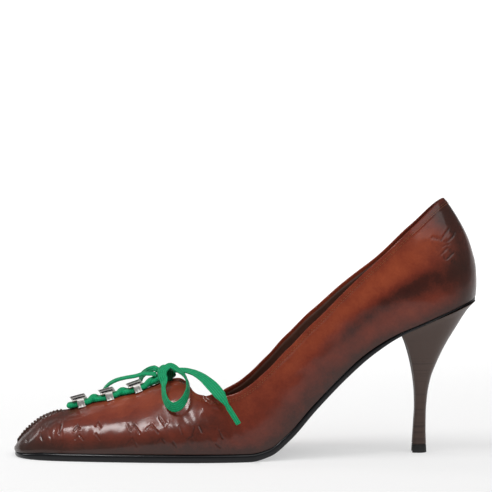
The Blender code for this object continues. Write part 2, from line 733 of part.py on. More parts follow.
def make_aglet(name, lace_end, material):
    """A stiff tube that closes the end of the lace, in line with its last stretch."""
    start = Vector(lace_end[-1])
    run = (start - Vector(lace_end[-2])).normalized()
    aglet = bmesh.new()
    bmesh.ops.create_cone(aglet, cap_ends=True, segments=12, radius1=AGLET_DIAMETER / 2,
                          radius2=AGLET_DIAMETER / 2, depth=AGLET_LENGTH)
    turn = run.to_track_quat("Z", "Y").to_matrix()
    bmesh.ops.rotate(aglet, verts=aglet.verts, cent=(0.0, 0.0, 0.0), matrix=turn)
    middle = start + run * (FIT_GAP + AGLET_LENGTH / 2)
    bmesh.ops.translate(aglet, verts=aglet.verts, vec=middle)
    return add_object(name, aglet, material)


def make_bow(material):
    make_knot(material)
    loops = (("lace_loop_near", NEAR_LOOP_LEAVES, NEAR_LOOP, NEAR_LOOP_RETURNS),
             ("lace_loop_far", FAR_LOOP_LEAVES, FAR_LOOP, FAR_LOOP_RETURNS))
    for name, leaves, places, returns in loops:
        make_cord(name, (*knot_exit(leaves), *places, *reversed(knot_exit(returns))), material)
    ends = (("near", NEAR_END_LEAVES, NEAR_END), ("far", FAR_END_LEAVES, FAR_END))
    for side, leaves, places in ends:
        make_cord(f"lace_end_{side}", (*knot_exit(leaves), *places), material)
        make_aglet(f"aglet_{side}", places, material)


def main():
    for thing in list(bpy.data.objects):
        bpy.data.objects.remove(thing)
    leather = principled("burnished calf", (0.20, 0.045, 0.025), 0.35)
    sock = principled("sock leather", (0.06, 0.022, 0.012), 0.6)
    black = principled("black sole", (0.012, 0.012, 0.014), 0.25)
    stack = principled("stacked leather", (0.045, 0.030, 0.026), 0.4)
    rubber = principled("top lift rubber", (0.015, 0.015, 0.015), 0.6)
    silver = principled("nickel", (0.75, 0.75, 0.75), 0.2, 1.0)
    green = principled("green cotton", (0.01, 0.32, 0.14), 0.8)
    make_upper(leather)
    make_insole(sock)
    make_outsole(black)
    make_heel(stack)
    make_top_lift(rubber)
    for number in range(BRIDGE_COUNT):
        make_bridge(number, silver)
    make_crossings(green)
    make_bow(green)


main()
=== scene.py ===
"""Looks of a burnished lace up court shoe on a slim stacked heel: a left shoe on a pale floor.

Metres, +Z up, the toe points to -X and the outer side of the foot is -Y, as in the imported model.
"""
import functools
import math

import bmesh
import bpy
import numpy as np
from bpy.props import FloatProperty, FloatVectorProperty, PointerProperty
from mathutils import Matrix, Vector, noise


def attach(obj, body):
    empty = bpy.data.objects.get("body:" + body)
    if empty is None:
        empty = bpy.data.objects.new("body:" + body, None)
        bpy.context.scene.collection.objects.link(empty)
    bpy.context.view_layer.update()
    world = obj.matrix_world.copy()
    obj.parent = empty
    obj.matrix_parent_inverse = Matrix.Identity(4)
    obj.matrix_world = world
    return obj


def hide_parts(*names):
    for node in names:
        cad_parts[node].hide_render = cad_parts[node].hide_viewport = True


bl_info = {
    "name": "Lace Up Heel",
    "version": (1, 0, 0),
    "blender": (4, 5, 0),
    "location": "3D View > Sidebar > Lace Up Heel",
    "description": "Builds the leather, sole, heel, lace and stage of a lace up court shoe",
    "category": "Object",
}

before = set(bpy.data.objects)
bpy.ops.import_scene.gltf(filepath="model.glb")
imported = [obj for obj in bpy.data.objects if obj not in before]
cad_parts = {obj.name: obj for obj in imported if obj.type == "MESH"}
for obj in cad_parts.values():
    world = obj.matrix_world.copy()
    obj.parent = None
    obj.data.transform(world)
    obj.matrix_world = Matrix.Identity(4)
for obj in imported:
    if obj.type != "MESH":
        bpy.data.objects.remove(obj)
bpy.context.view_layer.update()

MM = 0.001

# The foot form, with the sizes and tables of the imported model
FOOT_LENGTH = 0.2512
BALL_SHARE = 0.382
BALL_WIDTH = 0.0692
HEEL_HEIGHT = 0.0834
INSTEP_HEIGHT = 0.0369
COUNTER_HEIGHT = 0.0598
UPPER_WALL = 0.0018
TREAD_THICKNESS = 0.0041
TOE_THICKNESS = 0.0021
WAIST_THICKNESS = 0.0031
SEAT_THICKNESS = 0.0023
SEAT_SKIVE = 0.0014
SOLE_MARGIN = 0.0012
INSOLE_THICKNESS = 0.0016
FIT_GAP = 0.0003
SEAT_DEPTH = 0.0414
LIFT_HEIGHT = 0.0045
LIFT_MARGIN = 0.0002
HEEL_SQUARENESS = 0.78
BREAST_WIDTH_SHARE = 0.80
BREAST_HOLLOW_SHARE = 0.10
BREAST_TURN_SHARE = 0.25
SLIT_START = 2.5
# How far the leather rounds out over the sole at the toe
TOE_BULGE = 0.0006
# Steps along a rib, and the band of finer mesh rows under the leather's top edge
RIB_STEPS = 65
TOP_BAND = 0.0058
LINING_ROWS = 21
HEEL_AROUND = 96
# The two rows of collar stitches under the top edge, and the half thickness of the threads
COLLAR_ROWS = (0.0020, 0.0031)
COLLAR_THREAD, SEAM_THREAD, SEAM_THREAD_SUNK = 0.00016, 0.00042, 0.00010

# The bow: the places that the lace passes, and how it leaves and comes back to the knot
KNOT_CENTRE = (-0.0144, 0.0, 0.0434)
KNOT_RADII = (0.0034, 0.0042, 0.0045)
CORD_DIAMETER = 0.0030
NEAR_LOOP = (
    (-0.0139, -0.0106, 0.0411), (-0.0141, -0.0156, 0.0371), (-0.0133, -0.0213, 0.0338),
    (-0.0113, -0.0263, 0.0307), (-0.0083, -0.0289, 0.0292), (-0.0053, -0.0292, 0.0303),
    (-0.0028, -0.0277, 0.0329), (-0.0013, -0.0247, 0.0359), (-0.0008, -0.0200, 0.0391),
    (-0.0015, -0.0150, 0.0419), (-0.0037, -0.0105, 0.0444), (-0.0068, -0.0070, 0.0466),
    (-0.0093, -0.0048, 0.0482),
)
# Where the near loop comes over the front of the knot before it drops
OVER_THE_KNOT = ((-0.0110, -0.0040, 0.0488), (-0.0142, -0.0066, 0.0466), (-0.0150, -0.0084, 0.0438))
NEAR_LOOP_RETURNS = (0.35, -0.50, 0.80)
FAR_LOOP = (
    (-0.0198, 0.0048, 0.0463), (-0.0237, 0.0087, 0.0444), (-0.0271, 0.0143, 0.0410),
    (-0.0288, 0.0208, 0.0350), (-0.0280, 0.0258, 0.0290), (-0.0242, 0.0282, 0.0274),
    (-0.0204, 0.0262, 0.0303), (-0.0180, 0.0205, 0.0357), (-0.0166, 0.0130, 0.0402),
)
FAR_LOOP_LEAVES = (-0.65, 0.60, 0.42)
FAR_LOOP_RETURNS = (-0.10, 0.90, -0.40)
NEAR_END = (
    (-0.0060, -0.0015, 0.0459), (-0.0013, -0.0060, 0.0459), (0.0035, -0.0135, 0.0452),
    (0.0083, -0.0215, 0.0431), (0.0127, -0.0290, 0.0399), (0.0167, -0.0350, 0.0360),
    (0.0191, -0.0375, 0.0330), (0.0205, -0.0382, 0.0308),
)
NEAR_END_LEAVES = (0.90, -0.15, 0.35)
FAR_END = (
    (-0.0207, 0.0008, 0.0437), (-0.0260, 0.0028, 0.0434), (-0.0303, 0.0040, 0.0421),
    (-0.0360, 0.0055, 0.0410), (-0.0410, 0.0080, 0.0394), (-0.0455, 0.0115, 0.0366),
    (-0.0489, 0.0163, 0.0322), (-0.0511, 0.0220, 0.0262),
)
FAR_END_LEAVES = (-0.92, -0.20, 0.05)
# Each tip sags a little out of the line of its end
AGLET_HANGS = Vector((0.02, 0.0, -0.03))
# The knot's core is stretched along the shoe and set back; its lace colour is darkened by this factor
# as painted shade
KNOT_STRETCH, KNOT_SETBACK = 1.45, 0.0015
PAINTED_SHADE_IN_KNOT = 0.30
WRAP_REACH = 1.04
# The lace under the bridges: how far from the middle it runs, and its lowest height over the leather
LACED_LANE, LACED_LOW = 0.0019, 0.0015

# The bridges
BRIDGE_LENGTH = 0.0097
BRIDGE_FRONT = 0.1408
BRIDGE_PITCH = 0.0618
BRIDGE_COUNT = 3

PROFILE_COLUMNS = ("along", "height", "tread", "toe", "waist", "seat")
PROFILE = (
    (0.000, 0.002, 0.0, 1.0, 0.0, 0.0),
    (0.040, 0.001, 0.5, 0.5, 0.0, 0.0),
    (0.070, 0.000, 0.9, 0.1, 0.0, 0.0),
    (0.300, 0.000, 1.0, 0.0, 0.0, 0.0),
    (0.510, 0.000, 1.0, 0.0, 0.0, 0.0),
    (0.553, 0.030, 0.6, 0.0, 0.4, 0.0),
    (0.597, 0.130, 0.2, 0.0, 0.8, 0.0),
    (0.652, 0.312, 0.0, 0.0, 1.0, 0.0),
    (0.724, 0.532, 0.0, 0.0, 1.0, 0.0),
    (0.772, 0.660, 0.0, 0.0, 0.8, 0.2),
    (0.824, 0.768, 0.0, 0.0, 0.4, 0.6),
    (0.888, 0.864, 0.0, 0.0, 0.0, 1.0),
    (0.950, 0.943, 0.0, 0.0, 0.0, 1.0),
    (1.000, 1.003, 0.0, 0.0, 0.0, 1.0),
)
SECTION_COLUMNS = (
    "foot", "lateral", "medial", "top", "top_lateral", "top_medial",
    "vamp", "quarter", "low_out", "low_up", "high_out", "high_down", "margin", "lift",
)
SECTIONS = (
    (0.000, 0.000, 0.000, 0.011, 0.000, 0.000, 0.165, 0.000, 0.007, 0.36, 0.019, 0.30, 0.5, 0.000),
    (0.020, 0.200, 0.195, 0.029, 0.000, 0.000, 0.300, 0.000, 0.012, 0.45, 0.065, 0.26, 0.8, 0.000),
    (0.072, 0.316, 0.308, 0.076, 0.000, 0.000, 0.490, 0.000, 0.017, 0.50, 0.140, 0.14, 1.0, 0.000),
    (0.163, 0.396, 0.399, 0.159, 0.012, 0.012, 0.622, 0.000, 0.022, 0.48, 0.205, 0.15, 1.0, 0.000),
    (0.271, 0.457, 0.480, 0.263, 0.032, 0.032, 0.790, 0.000, 0.030, 0.48, 0.225, 0.15, 1.0, 0.000),
    (0.366, 0.491, 0.509, 0.356, 0.060, 0.060, 1.000, 0.000, 0.033, 0.46, 0.232, 0.13, 1.0, 0.000),
    (0.438, 0.497, 0.480, 0.402, 0.325, 0.310, 0.850, 0.000, 0.030, 0.45, 0.116, 0.26, 1.0, -0.105),
    (0.510, 0.471, 0.405, 0.478, 0.418, 0.392, 0.600, 0.170, 0.027, 0.38, 0.062, 0.36, 1.0, -0.020),
    (0.597, 0.390, 0.303, 0.573, 0.384, 0.360, 0.250, 0.600, 0.038, 0.32, 0.036, 0.36, 0.2, 0.040),
    (0.701, 0.327, 0.269, 0.681, 0.344, 0.330, 0.000, 0.730, 0.046, 0.32, 0.028, 0.34, -0.7, 0.030),
    (0.812, 0.332, 0.309, 0.784, 0.312, 0.306, 0.000, 0.757, 0.040, 0.31, 0.032, 0.30, -0.2, -0.030),
    (0.908, 0.338, 0.329, 0.860, 0.254, 0.250, 0.000, 0.878, 0.038, 0.29, 0.072, 0.27, 0.0, -0.025),
    (0.975, 0.225, 0.222, 0.911, 0.134, 0.132, 0.000, 0.980, 0.046, 0.31, 0.130, 0.23, 0.0, -0.010),
    (1.000, 0.000, 0.000, 0.931, 0.000, 0.000, 0.000, 1.000, 0.052, 0.33, 0.166, 0.22, 0.0, 0.000),
)
LAST = len(SECTIONS) - 1
HEEL_COLUMNS = ("down", "back", "breast", "half")
HEEL_SLICES = (
    (0.00, 0.004, 1.000, 0.330),
    (0.05, 0.094, 0.945, 0.292),
    (0.18, 0.254, 0.880, 0.222),
    (0.32, 0.411, 0.836, 0.162),
    (0.43, 0.510, 0.814, 0.122),
    (0.54, 0.589, 0.802, 0.092),
    (0.66, 0.633, 0.800, 0.073),
    (0.79, 0.652, 0.812, 0.064),
    (0.90, 0.655, 0.823, 0.060),
    (1.00, 0.650, 0.833, 0.061),
)

# Marks pressed into the leather and its creases, placed on the outer side, in millimetres, and
# mirrored on the inner side. Columns: x and z of the start, x and z of the end, depth, half width
PRESSED_MARKS = (
    (-50.3, 18.3, -48.9, 20.6, 0.30, 0.50), (-48.9, 20.6, -47.4, 18.0, 0.36, 0.50),
    (-62.2, 16.0, -60.0, 18.3, 0.32, 0.50), (-60.0, 18.3, -59.0, 16.9, 0.32, 0.50),
    (-69.2, 18.0, -69.9, 14.5, 0.32, 0.60),
    (-32.8, 19.6, -31.2, 16.6, 0.26, 0.45), (-31.2, 16.6, -29.7, 19.8, 0.26, 0.45),
    (-29.7, 19.8, -26.3, 15.4, 0.38, 0.50),
    (-23.1, 17.2, -20.0, 19.8, 0.36, 0.50), (-20.0, 19.8, -16.4, 15.6, 0.38, 0.50),
    (-16.0, 23.2, -13.1, 19.5, 0.30, 0.45), (-13.1, 19.5, -11.7, 21.5, 0.20, 0.45),
    (-30.3, 12.9, -27.9, 9.0, 0.26, 0.50), (-33.6, 9.6, -30.3, 12.9, 0.18, 0.50),
    (-14.9, 13.2, -13.0, 10.9, 0.24, 0.45), (-17.4, 10.8, -14.9, 13.2, 0.16, 0.45),
    (-8.5, 11.2, -6.6, 8.4, 0.26, 0.50), (-50.2, 14.8, -47.8, 12.1, 0.20, 0.50),
    (-61.4, 11.8, -59.2, 14.0, 0.18, 0.50), (-59.2, 14.0, -56.8, 11.6, 0.18, 0.50),
    (-80.6, 13.6, -79.3, 10.9, 0.24, 0.70), (-68.9, 10.6, -68.7, 5.2, 0.10, 0.90),
    (-74.6, 12.4, -73.9, 8.6, 0.12, 0.80),
    (5.5, 19.3, 6.8, 16.5, 0.34, 0.55), (2.7, 18.9, 1.7, 14.4, 0.26, 0.55),
    (-0.4, 13.2, 1.9, 14.2, 0.24, 0.50), (15.7, 17.4, 17.6, 13.2, 0.26, 0.60),
    (14.2, 10.4, 16.4, 8.4, 0.20, 0.60), (-5.0, 19.0, -3.4, 15.2, 0.16, 0.60),
    (135.2, 109.2, 138.0, 106.3, 0.48, 0.55), (138.0, 106.3, 141.6, 109.6, 0.46, 0.55),
    (141.6, 109.6, 138.2, 112.4, 0.38, 0.55), (138.2, 112.4, 135.2, 109.2, 0.38, 0.55),
    (135.2, 116.5, 139.6, 122.2, 0.34, 0.55), (139.6, 122.2, 143.3, 119.8, 0.32, 0.55),
    (143.3, 119.8, 138.5, 115.4, 0.34, 0.55), (138.5, 115.4, 135.2, 116.5, 0.32, 0.55),
    (130.2, 118.2, 135.2, 116.8, 0.32, 0.50), (141.3, 117.6, 143.4, 120.9, 0.40, 0.50),
    (136.4, 113.2, 139.6, 114.4, 0.26, 0.50), (141.0, 105.7, 143.4, 103.9, 0.36, 0.50),
    (143.6, 110.2, 145.2, 108.0, 0.34, 0.50),
)
SOFT_CREASES = (
    (9.0, 34.0, 22.0, 28.2, 0.30, 1.00), (10.6, 32.0, 18.0, 31.0, 0.24, 0.60),
    (13.0, 29.9, 24.0, 26.6, 0.18, 0.80), (4.0, 36.0, 8.0, 26.0, 0.14, 2.20),
    (-3.0, 22.0, 2.0, 15.0, 0.12, 1.60), (9.0, 24.0, 13.0, 15.0, 0.16, 1.80),
    (20.0, 22.0, 24.0, 12.0, 0.14, 2.00), (-11.0, 18.0, -8.0, 12.0, 0.12, 1.80),
    (-66.0, 21.5, -60.0, 23.0, 0.18, 0.90), (-80.0, 17.0, -72.0, 20.0, 0.16, 1.00),
    (-88.0, 10.0, -84.0, 14.0, 0.14, 1.00), (-90.5, 6.0, -88.5, 9.0, 0.14, 1.00),
    (-76.5, 17.0, -75.0, 13.0, 0.10, 1.00), (-72.0, 17.0, -72.8, 13.4, 0.10, 0.90),
    (-36.0, 12.0, -34.5, 18.0, 0.06, 2.00), (-55.0, 12.0, -54.0, 16.6, 0.06, 1.60),
    (48.0, 50.0, 60.0, 58.5, 0.08, 1.60), (55.0, 50.0, 66.0, 60.0, 0.06, 1.80),
    (36.0, 30.0, 46.0, 44.0, 0.08, 2.60),
)

# Where the leather is fuller or flatter than the last, on both sides, in millimetres. Columns: x and
# z of the middle, reach along and up, how far it stands out
SWELLS = (
    (-12.0, 13.0, 22.0, 7.5, 1.15), (-12.0, 29.0, 22.0, 6.0, -0.75),
    (-62.0, 9.5, 16.0, 4.5, -0.40), (-60.0, 19.5, 16.0, 4.0, 0.35),
)

# The lacing pulls the edges of the slit up: by how much, in millimetres where along the shoe, and how
# far down from the edge in metres
SLIT_LIFT = 0.0008
SLIT_MIDDLE, SLIT_REACH = -38.0, 26.0
SLIT_FADE = 0.007

# Patches of the burnish and of painted light, on both sides, in millimetres: partly the leather's own
# burnished tone and partly painted light, shade and reflection. Columns: x and z of the middle, reach
# along and across, turn in degrees, how much lighter and how much greyer the leather is
BURNISH_AND_LIGHT_PATCHES = (
    (-34.0, 30.0, 34.0, 6.0, 12.0, 0.22, -0.10),
    (-6.0, 35.5, 12.0, 6.0, 0.0, 0.12, -0.10),
    (-93.0, 8.0, 13.0, 16.0, 45.0, -0.30, 0.22),
    (-70.0, 22.0, 16.0, 3.5, 20.0, -0.22, 0.30),
    (-50.0, 8.0, 34.0, 5.0, 0.0, -0.06, 0.22),
    (-12.0, 9.0, 22.0, 5.0, 0.0, -0.10, 0.15),
    (10.0, 17.0, 14.0, 9.0, 0.0, -0.12, 0.05),
    (20.0, 30.0, 14.0, 5.0, -20.0, 0.12, -0.05),
    (50.0, 20.0, 26.0, 7.0, 50.0, -0.12, 0.10),
    # Lighter under the collar on the quarter: partly burnish and partly painted light
    (60.0, 58.0, 34.0, 9.0, 42.0, 0.22, -0.10),
    (105.0, 97.0, 34.0, 9.0, 38.0, 0.32, -0.12),
    (84.0, 67.0, 22.0, 4.0, 40.0, -0.20, -0.02),
    (106.0, 84.0, 24.0, 4.5, 33.0, -0.24, -0.05),
    (130.0, 95.0, 20.0, 6.0, 22.0, -0.28, -0.05),
    (76.0, 46.0, 26.0, 7.0, 45.0, -0.10, 0.14),
    (118.0, 78.0, 22.0, 7.0, 28.0, 0.08, 0.12),
    # Darker and greyer along the back edge: the grey is a painted reflection
    (148.0, 104.0, 9.0, 30.0, 10.0, -0.30, 0.25),
    (141.0, 130.0, 10.0, 9.0, 0.0, -0.30, 0.10),
    (128.0, 112.0, 12.0, 10.0, 40.0, 0.12, 0.00),
    # Lighter and greyer over the pressed marks on the counter: a painted highlight
    (139.0, 111.0, 6.0, 9.0, 0.0, 0.14, 0.18),
)


def linear(code):
    """An sRGB hex colour as linear red, green and blue."""
    channels = [int(code[i:i + 2], 16) / 255 for i in (1, 3, 5)]
    return tuple(c / 12.92 if c <= 0.04045 else ((c + 0.055) / 1.055) ** 2.4 for c in channels)


def length_setting(name, about, default):
    return FloatProperty(name=name, description=about, default=default, min=0.0, unit="LENGTH",
                         precision=5)


def colour_setting(name, about, code):
    return FloatVectorProperty(name=name, description=about, default=linear(code), size=3,
                               min=0.0, max=1.0, subtype="COLOR")


class LeatherSettings(bpy.types.PropertyGroup):
    """Sizes and colours of the upper, its seams and its lining."""
    bright: colour_setting("Bright calf", "Colour where the burnish is thinnest", "#A34A2C")
    warm: colour_setting("Warm calf", "Colour of the calf between burnish and bright", "#7C301E")
    deep: colour_setting("Deep calf", "Colour under a full coat of burnish", "#451A10")
    burnt: colour_setting("Burnt calf", "Darkest burnish at the heel and toe", "#200D08")
    # The wax grey is also painted in as a reflection of the floor, near the sole and along the back
    # edge
    grey: colour_setting("Wax and painted reflection grey", "Greyed brown of the wax near the sole", "#473630")
    lining: colour_setting("Lining", "Colour of the lining leather", "#4C2614")
    thread: colour_setting("Topline thread", "Thread of the two rows along the collar", "#8E5435")
    seam_thread: colour_setting("Toe seam thread", "Thread of the raised toe seam", "#5E463D")
    seam_height: length_setting("Toe seam height", "How far the toe seam stands up", 0.0009)
    seam_half: length_setting("Toe seam half width", "Half the width of the toe seam", 0.0019)
    seam_pitch: length_setting("Toe stitch pitch", "Distance between toe seam stitches", 0.0021)
    stitch_pitch: length_setting("Collar stitch pitch", "Distance between collar stitches", 0.0017)
    fold_width: length_setting("Fold width", "Width of the folded edge along the collar", 0.0037)
    column_step: length_setting("Front mesh step", "Between mesh columns at the vamp", 0.00036)


class LaceSettings(bpy.types.PropertyGroup):
    """Sizes and colours of the lace and the bridges."""
    green: colour_setting("Lace", "Colour of the lace", "#0BBD7D")
    # The lace shade is painted shade, between the threads and in the knot
    shade: colour_setting("Lace shade", "Colour between the threads of the lace", "#05633C")
    width: length_setting("Lace width", "Width of the flat lace", 0.0056)
    thickness: length_setting("Lace thickness", "Thickness of the flat lace", 0.0013)
    laced_width: length_setting("Laced width", "Width of the lace where the bridges hold it", 0.0037)
    laced_thickness: length_setting("Laced thickness", "Its thickness there", 0.0030)
    aglet_length: length_setting("Aglet length", "Length of the lace's stiff tips", 0.0108)
    aglet_diameter: length_setting("Aglet diameter", "Diameter of the lace's stiff tips", 0.0029)
    metal: colour_setting("Bridge metal", "Colour of the nickel plate", "#D6D2CE")


class SoleSettings(bpy.types.PropertyGroup):
    """Colours of the sole, the heel and the foot bed."""
    edge: colour_setting("Sole edge", "Colour of the painted sole", "#0B0C10")
    heel_light: colour_setting("Heel light", "Lighter layers of the stacked heel", "#624C42")
    heel_dark: colour_setting("Heel dark", "Darker layers of the stacked heel", "#291A15")
    lift: colour_setting("Top lift", "Colour of the top lift", "#131212")
    sock: colour_setting("Sock", "Colour of the foot bed", "#4A2817")


class StageSettings(bpy.types.PropertyGroup):
    """Camera distance and floor colour."""
    distance: length_setting("Camera distance", "From the camera to the middle of the shoe", 1.150)
    height: length_setting("Camera height", "Height of the camera over the floor", 0.1775)
    middle: FloatProperty(name="Camera middle", description="Where the camera stands along the shoe",
                          default=0.0308, unit="LENGTH", precision=4)
    down: FloatProperty(name="Camera tilt", description="How far the camera looks down",
                        default=math.radians(3.2), subtype="ANGLE")
    roll: FloatProperty(name="Camera roll", description="How far the camera is rolled",
                        default=math.radians(-0.4), subtype="ANGLE")
    lens: FloatProperty(name="Focal length", description="Focal length on a 36 mm sensor",
                        default=155.1)
    glow: FloatProperty(name="Floor glow", description="Light that comes up through the floor",
                        default=0.50, min=0.0)
    floor: colour_setting("Floor", "Colour of the floor", "#BFBFBF")


class ShoeSettings(bpy.types.PropertyGroup):
    """All settings of the shoe."""
    leather: PointerProperty(type=LeatherSettings)
    lace: PointerProperty(type=LaceSettings)
    sole: PointerProperty(type=SoleSettings)
    stage: PointerProperty(type=StageSettings)


def settings():
    return bpy.context.scene.lace_up_heel


# The shoe's form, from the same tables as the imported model


def table_value(table, names, name, index):
    """One value of a table, mirrored past its ends so that the shoe closes smoothly."""
    mirrored = name in ("lateral", "medial", "top_lateral", "top_medial")
    last = len(table) - 1
    if index < 0 or index > last:
        value = table[-index if index < 0 else 2 * last - index][names.index(name)]
        return -value if mirrored else value
    return table[index][names.index(name)]


def hermite(t, start, end, leave, arrive):
    return ((2 * t ** 3 - 3 * t ** 2 + 1) * start + (t ** 3 - 2 * t ** 2 + t) * leave
            + (3 * t ** 2 - 2 * t ** 3) * end + (t ** 3 - t ** 2) * arrive)


@functools.cache
def section(name, place):
    """A column of the section table at any place between its rows, on a smooth curve."""
    row = min(int(place), LAST - 1)
    before, start, end, after = (
        table_value(SECTIONS, SECTION_COLUMNS, name, row + step) for step in (-1, 0, 1, 2))
    return hermite(place - row, start, end, (end - before) / 2, (after - start) / 2)


def monotone(table, names, key, name, at):
    """A column of a table against its key column, smooth and without overshoot."""
    keys = [row[names.index(key)] for row in table]
    values = [row[names.index(name)] for row in table]
    if at <= keys[0] or at >= keys[-1]:
        end, inner = (0, 1) if at <= keys[0] else (-1, -2)
        slope = (values[end] - values[inner]) / (keys[end] - keys[inner])
        return values[end] + slope * (at - keys[end])
    row = max(i for i, value in enumerate(keys) if value <= at)
    steps = [b - a for a, b in zip(keys, keys[1:])]
    slopes = [(b - a) / step for a, b, step in zip(values, values[1:], steps)]

    def tangent(i):
        if i in (0, len(slopes)):
            return slopes[min(i, len(slopes) - 1)]
        if slopes[i - 1] * slopes[i] <= 0:
            return 0.0
        return 2 * slopes[i - 1] * slopes[i] / (slopes[i - 1] + slopes[i])

    return hermite((at - keys[row]) / steps[row], values[row], values[row + 1],
                   steps[row] * tangent(row), steps[row] * tangent(row + 1))


def along_to_x(share):
    return (share - BALL_SHARE) * FOOT_LENGTH


def profile(name, x):
    return monotone(PROFILE, PROFILE_COLUMNS, "along", name, x / FOOT_LENGTH + BALL_SHARE)


@functools.cache
def sole_underside(x):
    return max(0.0, profile("height", x) * HEEL_HEIGHT)


@functools.cache
def sole_top(x):
    """Height of the foot bed: the underside plus the sole's thickness square to its slope."""
    thickness = (profile("tread", x) * TREAD_THICKNESS + profile("toe", x) * TOE_THICKNESS
                 + profile("waist", x) * WAIST_THICKNESS + profile("seat", x) * SEAT_THICKNESS)
    reach = FOOT_LENGTH / 200
    slope = (sole_underside(x + reach) - sole_underside(x - reach)) / (2 * reach)
    return sole_underside(x) + thickness * math.hypot(1.0, slope)


@functools.cache
def feather(x):
    """Height of the line where leather and sole meet: lower at the seat, which is skived thin."""
    return sole_top(x) - profile("seat", x) * SEAT_SKIVE


@functools.cache
def foot_outline(place, side):
    half = section("lateral" if side < 0 else "medial", place)
    return Vector((along_to_x(section("foot", place)), side * half * BALL_WIDTH, 0.0))


@functools.cache
def outward(place, side):
    """Level direction square to the foot outline, pointing away from the foot."""
    reach = 0.02
    if place < reach:
        return Vector((-1.0, 0.0, 0.0))
    if place > LAST - reach:
        return Vector((1.0, 0.0, 0.0))
    run = foot_outline(place + reach, side) - foot_outline(place - reach, side)
    return Vector((run.y * side * -1, run.x * side, 0.0)).normalized()


def top_rise(place, side):
    rise = section("vamp", place) * INSTEP_HEIGHT + section("quarter", place) * COUNTER_HEIGHT
    return rise + (section("lift", place) * COUNTER_HEIGHT if side > 0 else 0.0)


def collar_edge(place, side):
    half = section("top_lateral" if side < 0 else "top_medial", place)
    if place <= SLIT_START or place >= LAST:
        half = 0.0
    x = along_to_x(section("top", place))
    return Vector((x, side * max(half, 0.0) * BALL_WIDTH, sole_top(x) + top_rise(place, side)))


@functools.cache
def rib(place, side):
    """The four control points of the upper's section at a place, from the sole to the top edge."""
    foot = foot_outline(place, side).copy()
    foot.z = feather(foot.x) + FIT_GAP
    top = collar_edge(place, side)
    rise = top_rise(place, side)
    away = outward(place, side) * BALL_WIDTH
    low = foot + away * section("low_out", place)
    low.z += rise * section("low_up", place)
    high = top + away * section("high_out", place)
    high.z -= rise * section("high_down", place)
    return np.array([foot, low, high, top])


def bezier(corners, t):
    t = np.asarray(t)[:, None]
    keep = 1 - t
    return (corners[0] * keep ** 3 + corners[1] * 3 * keep ** 2 * t
            + corners[2] * 3 * keep * t ** 2 + corners[3] * t ** 3)


def running_length(points):
    """Distance along a line of points, at each of them."""
    return np.concatenate([[0.0], np.cumsum(np.linalg.norm(np.diff(points, axis=0), axis=1))])


@functools.cache
def rib_lengths(place, side):
    """Distances along a rib at even steps of its curve."""
    return running_length(bezier(rib(place, side), np.linspace(0.0, 1.0, RIB_STEPS)))


def rib_points(place, side, distances):
    """Points of a rib at the given distances from the sole's edge."""
    t = np.interp(distances, rib_lengths(place, side), np.linspace(0.0, 1.0, RIB_STEPS))
    return bezier(rib(place, side), t)


def opened(place):
    """0 where the two sides meet in the toe seam, and 1 soon after the slit has parted them."""
    return np.clip((np.asarray(place) - SLIT_START) * 6, 0.0, 1.0)


def spaced_places(front_step, rear_step, change_x):
    """Places along the shoe whose points on the outer foot outline lie evenly apart."""
    fine = np.linspace(0.0, LAST, 1301)
    spots = np.array([foot_outline(float(p), -1) for p in fine])
    runs = np.linalg.norm(np.diff(spots, axis=0), axis=1)
    steps = np.where(spots[1:, 0] < change_x, front_step, rear_step)
    counts = np.concatenate([[0.0], np.cumsum(runs / steps)])
    total = int(math.ceil(counts[-1]))
    places = np.interp(np.linspace(0.0, counts[-1], total + 1), counts, fine)
    places[0], places[-1] = 0.0, float(LAST)
    places[np.abs(places - SLIT_START).argmin()] = SLIT_START
    return [float(p) for p in places]

def grid_normals(points, side, places):
    """Directions out of one side of the upper, level along the shoe's middle where the sides meet."""
    normals = np.cross(np.gradient(points, axis=0), np.gradient(points, axis=1)) * -side
    normals[[0, -1], :, 1] = 0.0
    normals[0, -1] = normals[1, -1]
    normals /= np.maximum(np.linalg.norm(normals, axis=2, keepdims=True), 1e-12)
    normals[np.array(places) <= SLIT_START, -1, 1] = 0.0
    return normals / np.linalg.norm(normals, axis=2, keepdims=True)


def stroke_distance(x, z, x1, z1, x2, z2):
    """Distance in millimetres of each point to a stroke, seen from the side, and on which side."""
    run = np.array([x2 - x1, z2 - z1])
    length = np.hypot(*run)
    share = np.clip(((x - x1) * run[0] + (z - z1) * run[1]) / length ** 2, 0.0, 1.0)
    dx, dz = x - x1 - share * run[0], z - z1 - share * run[1]
    return np.hypot(dx, dz), (dx * run[1] - dz * run[0]) / length


def hump(distance, reach, power=2):
    """1 at no distance, falling smoothly to nothing past the reach."""
    return np.exp(-(distance / reach) ** power)


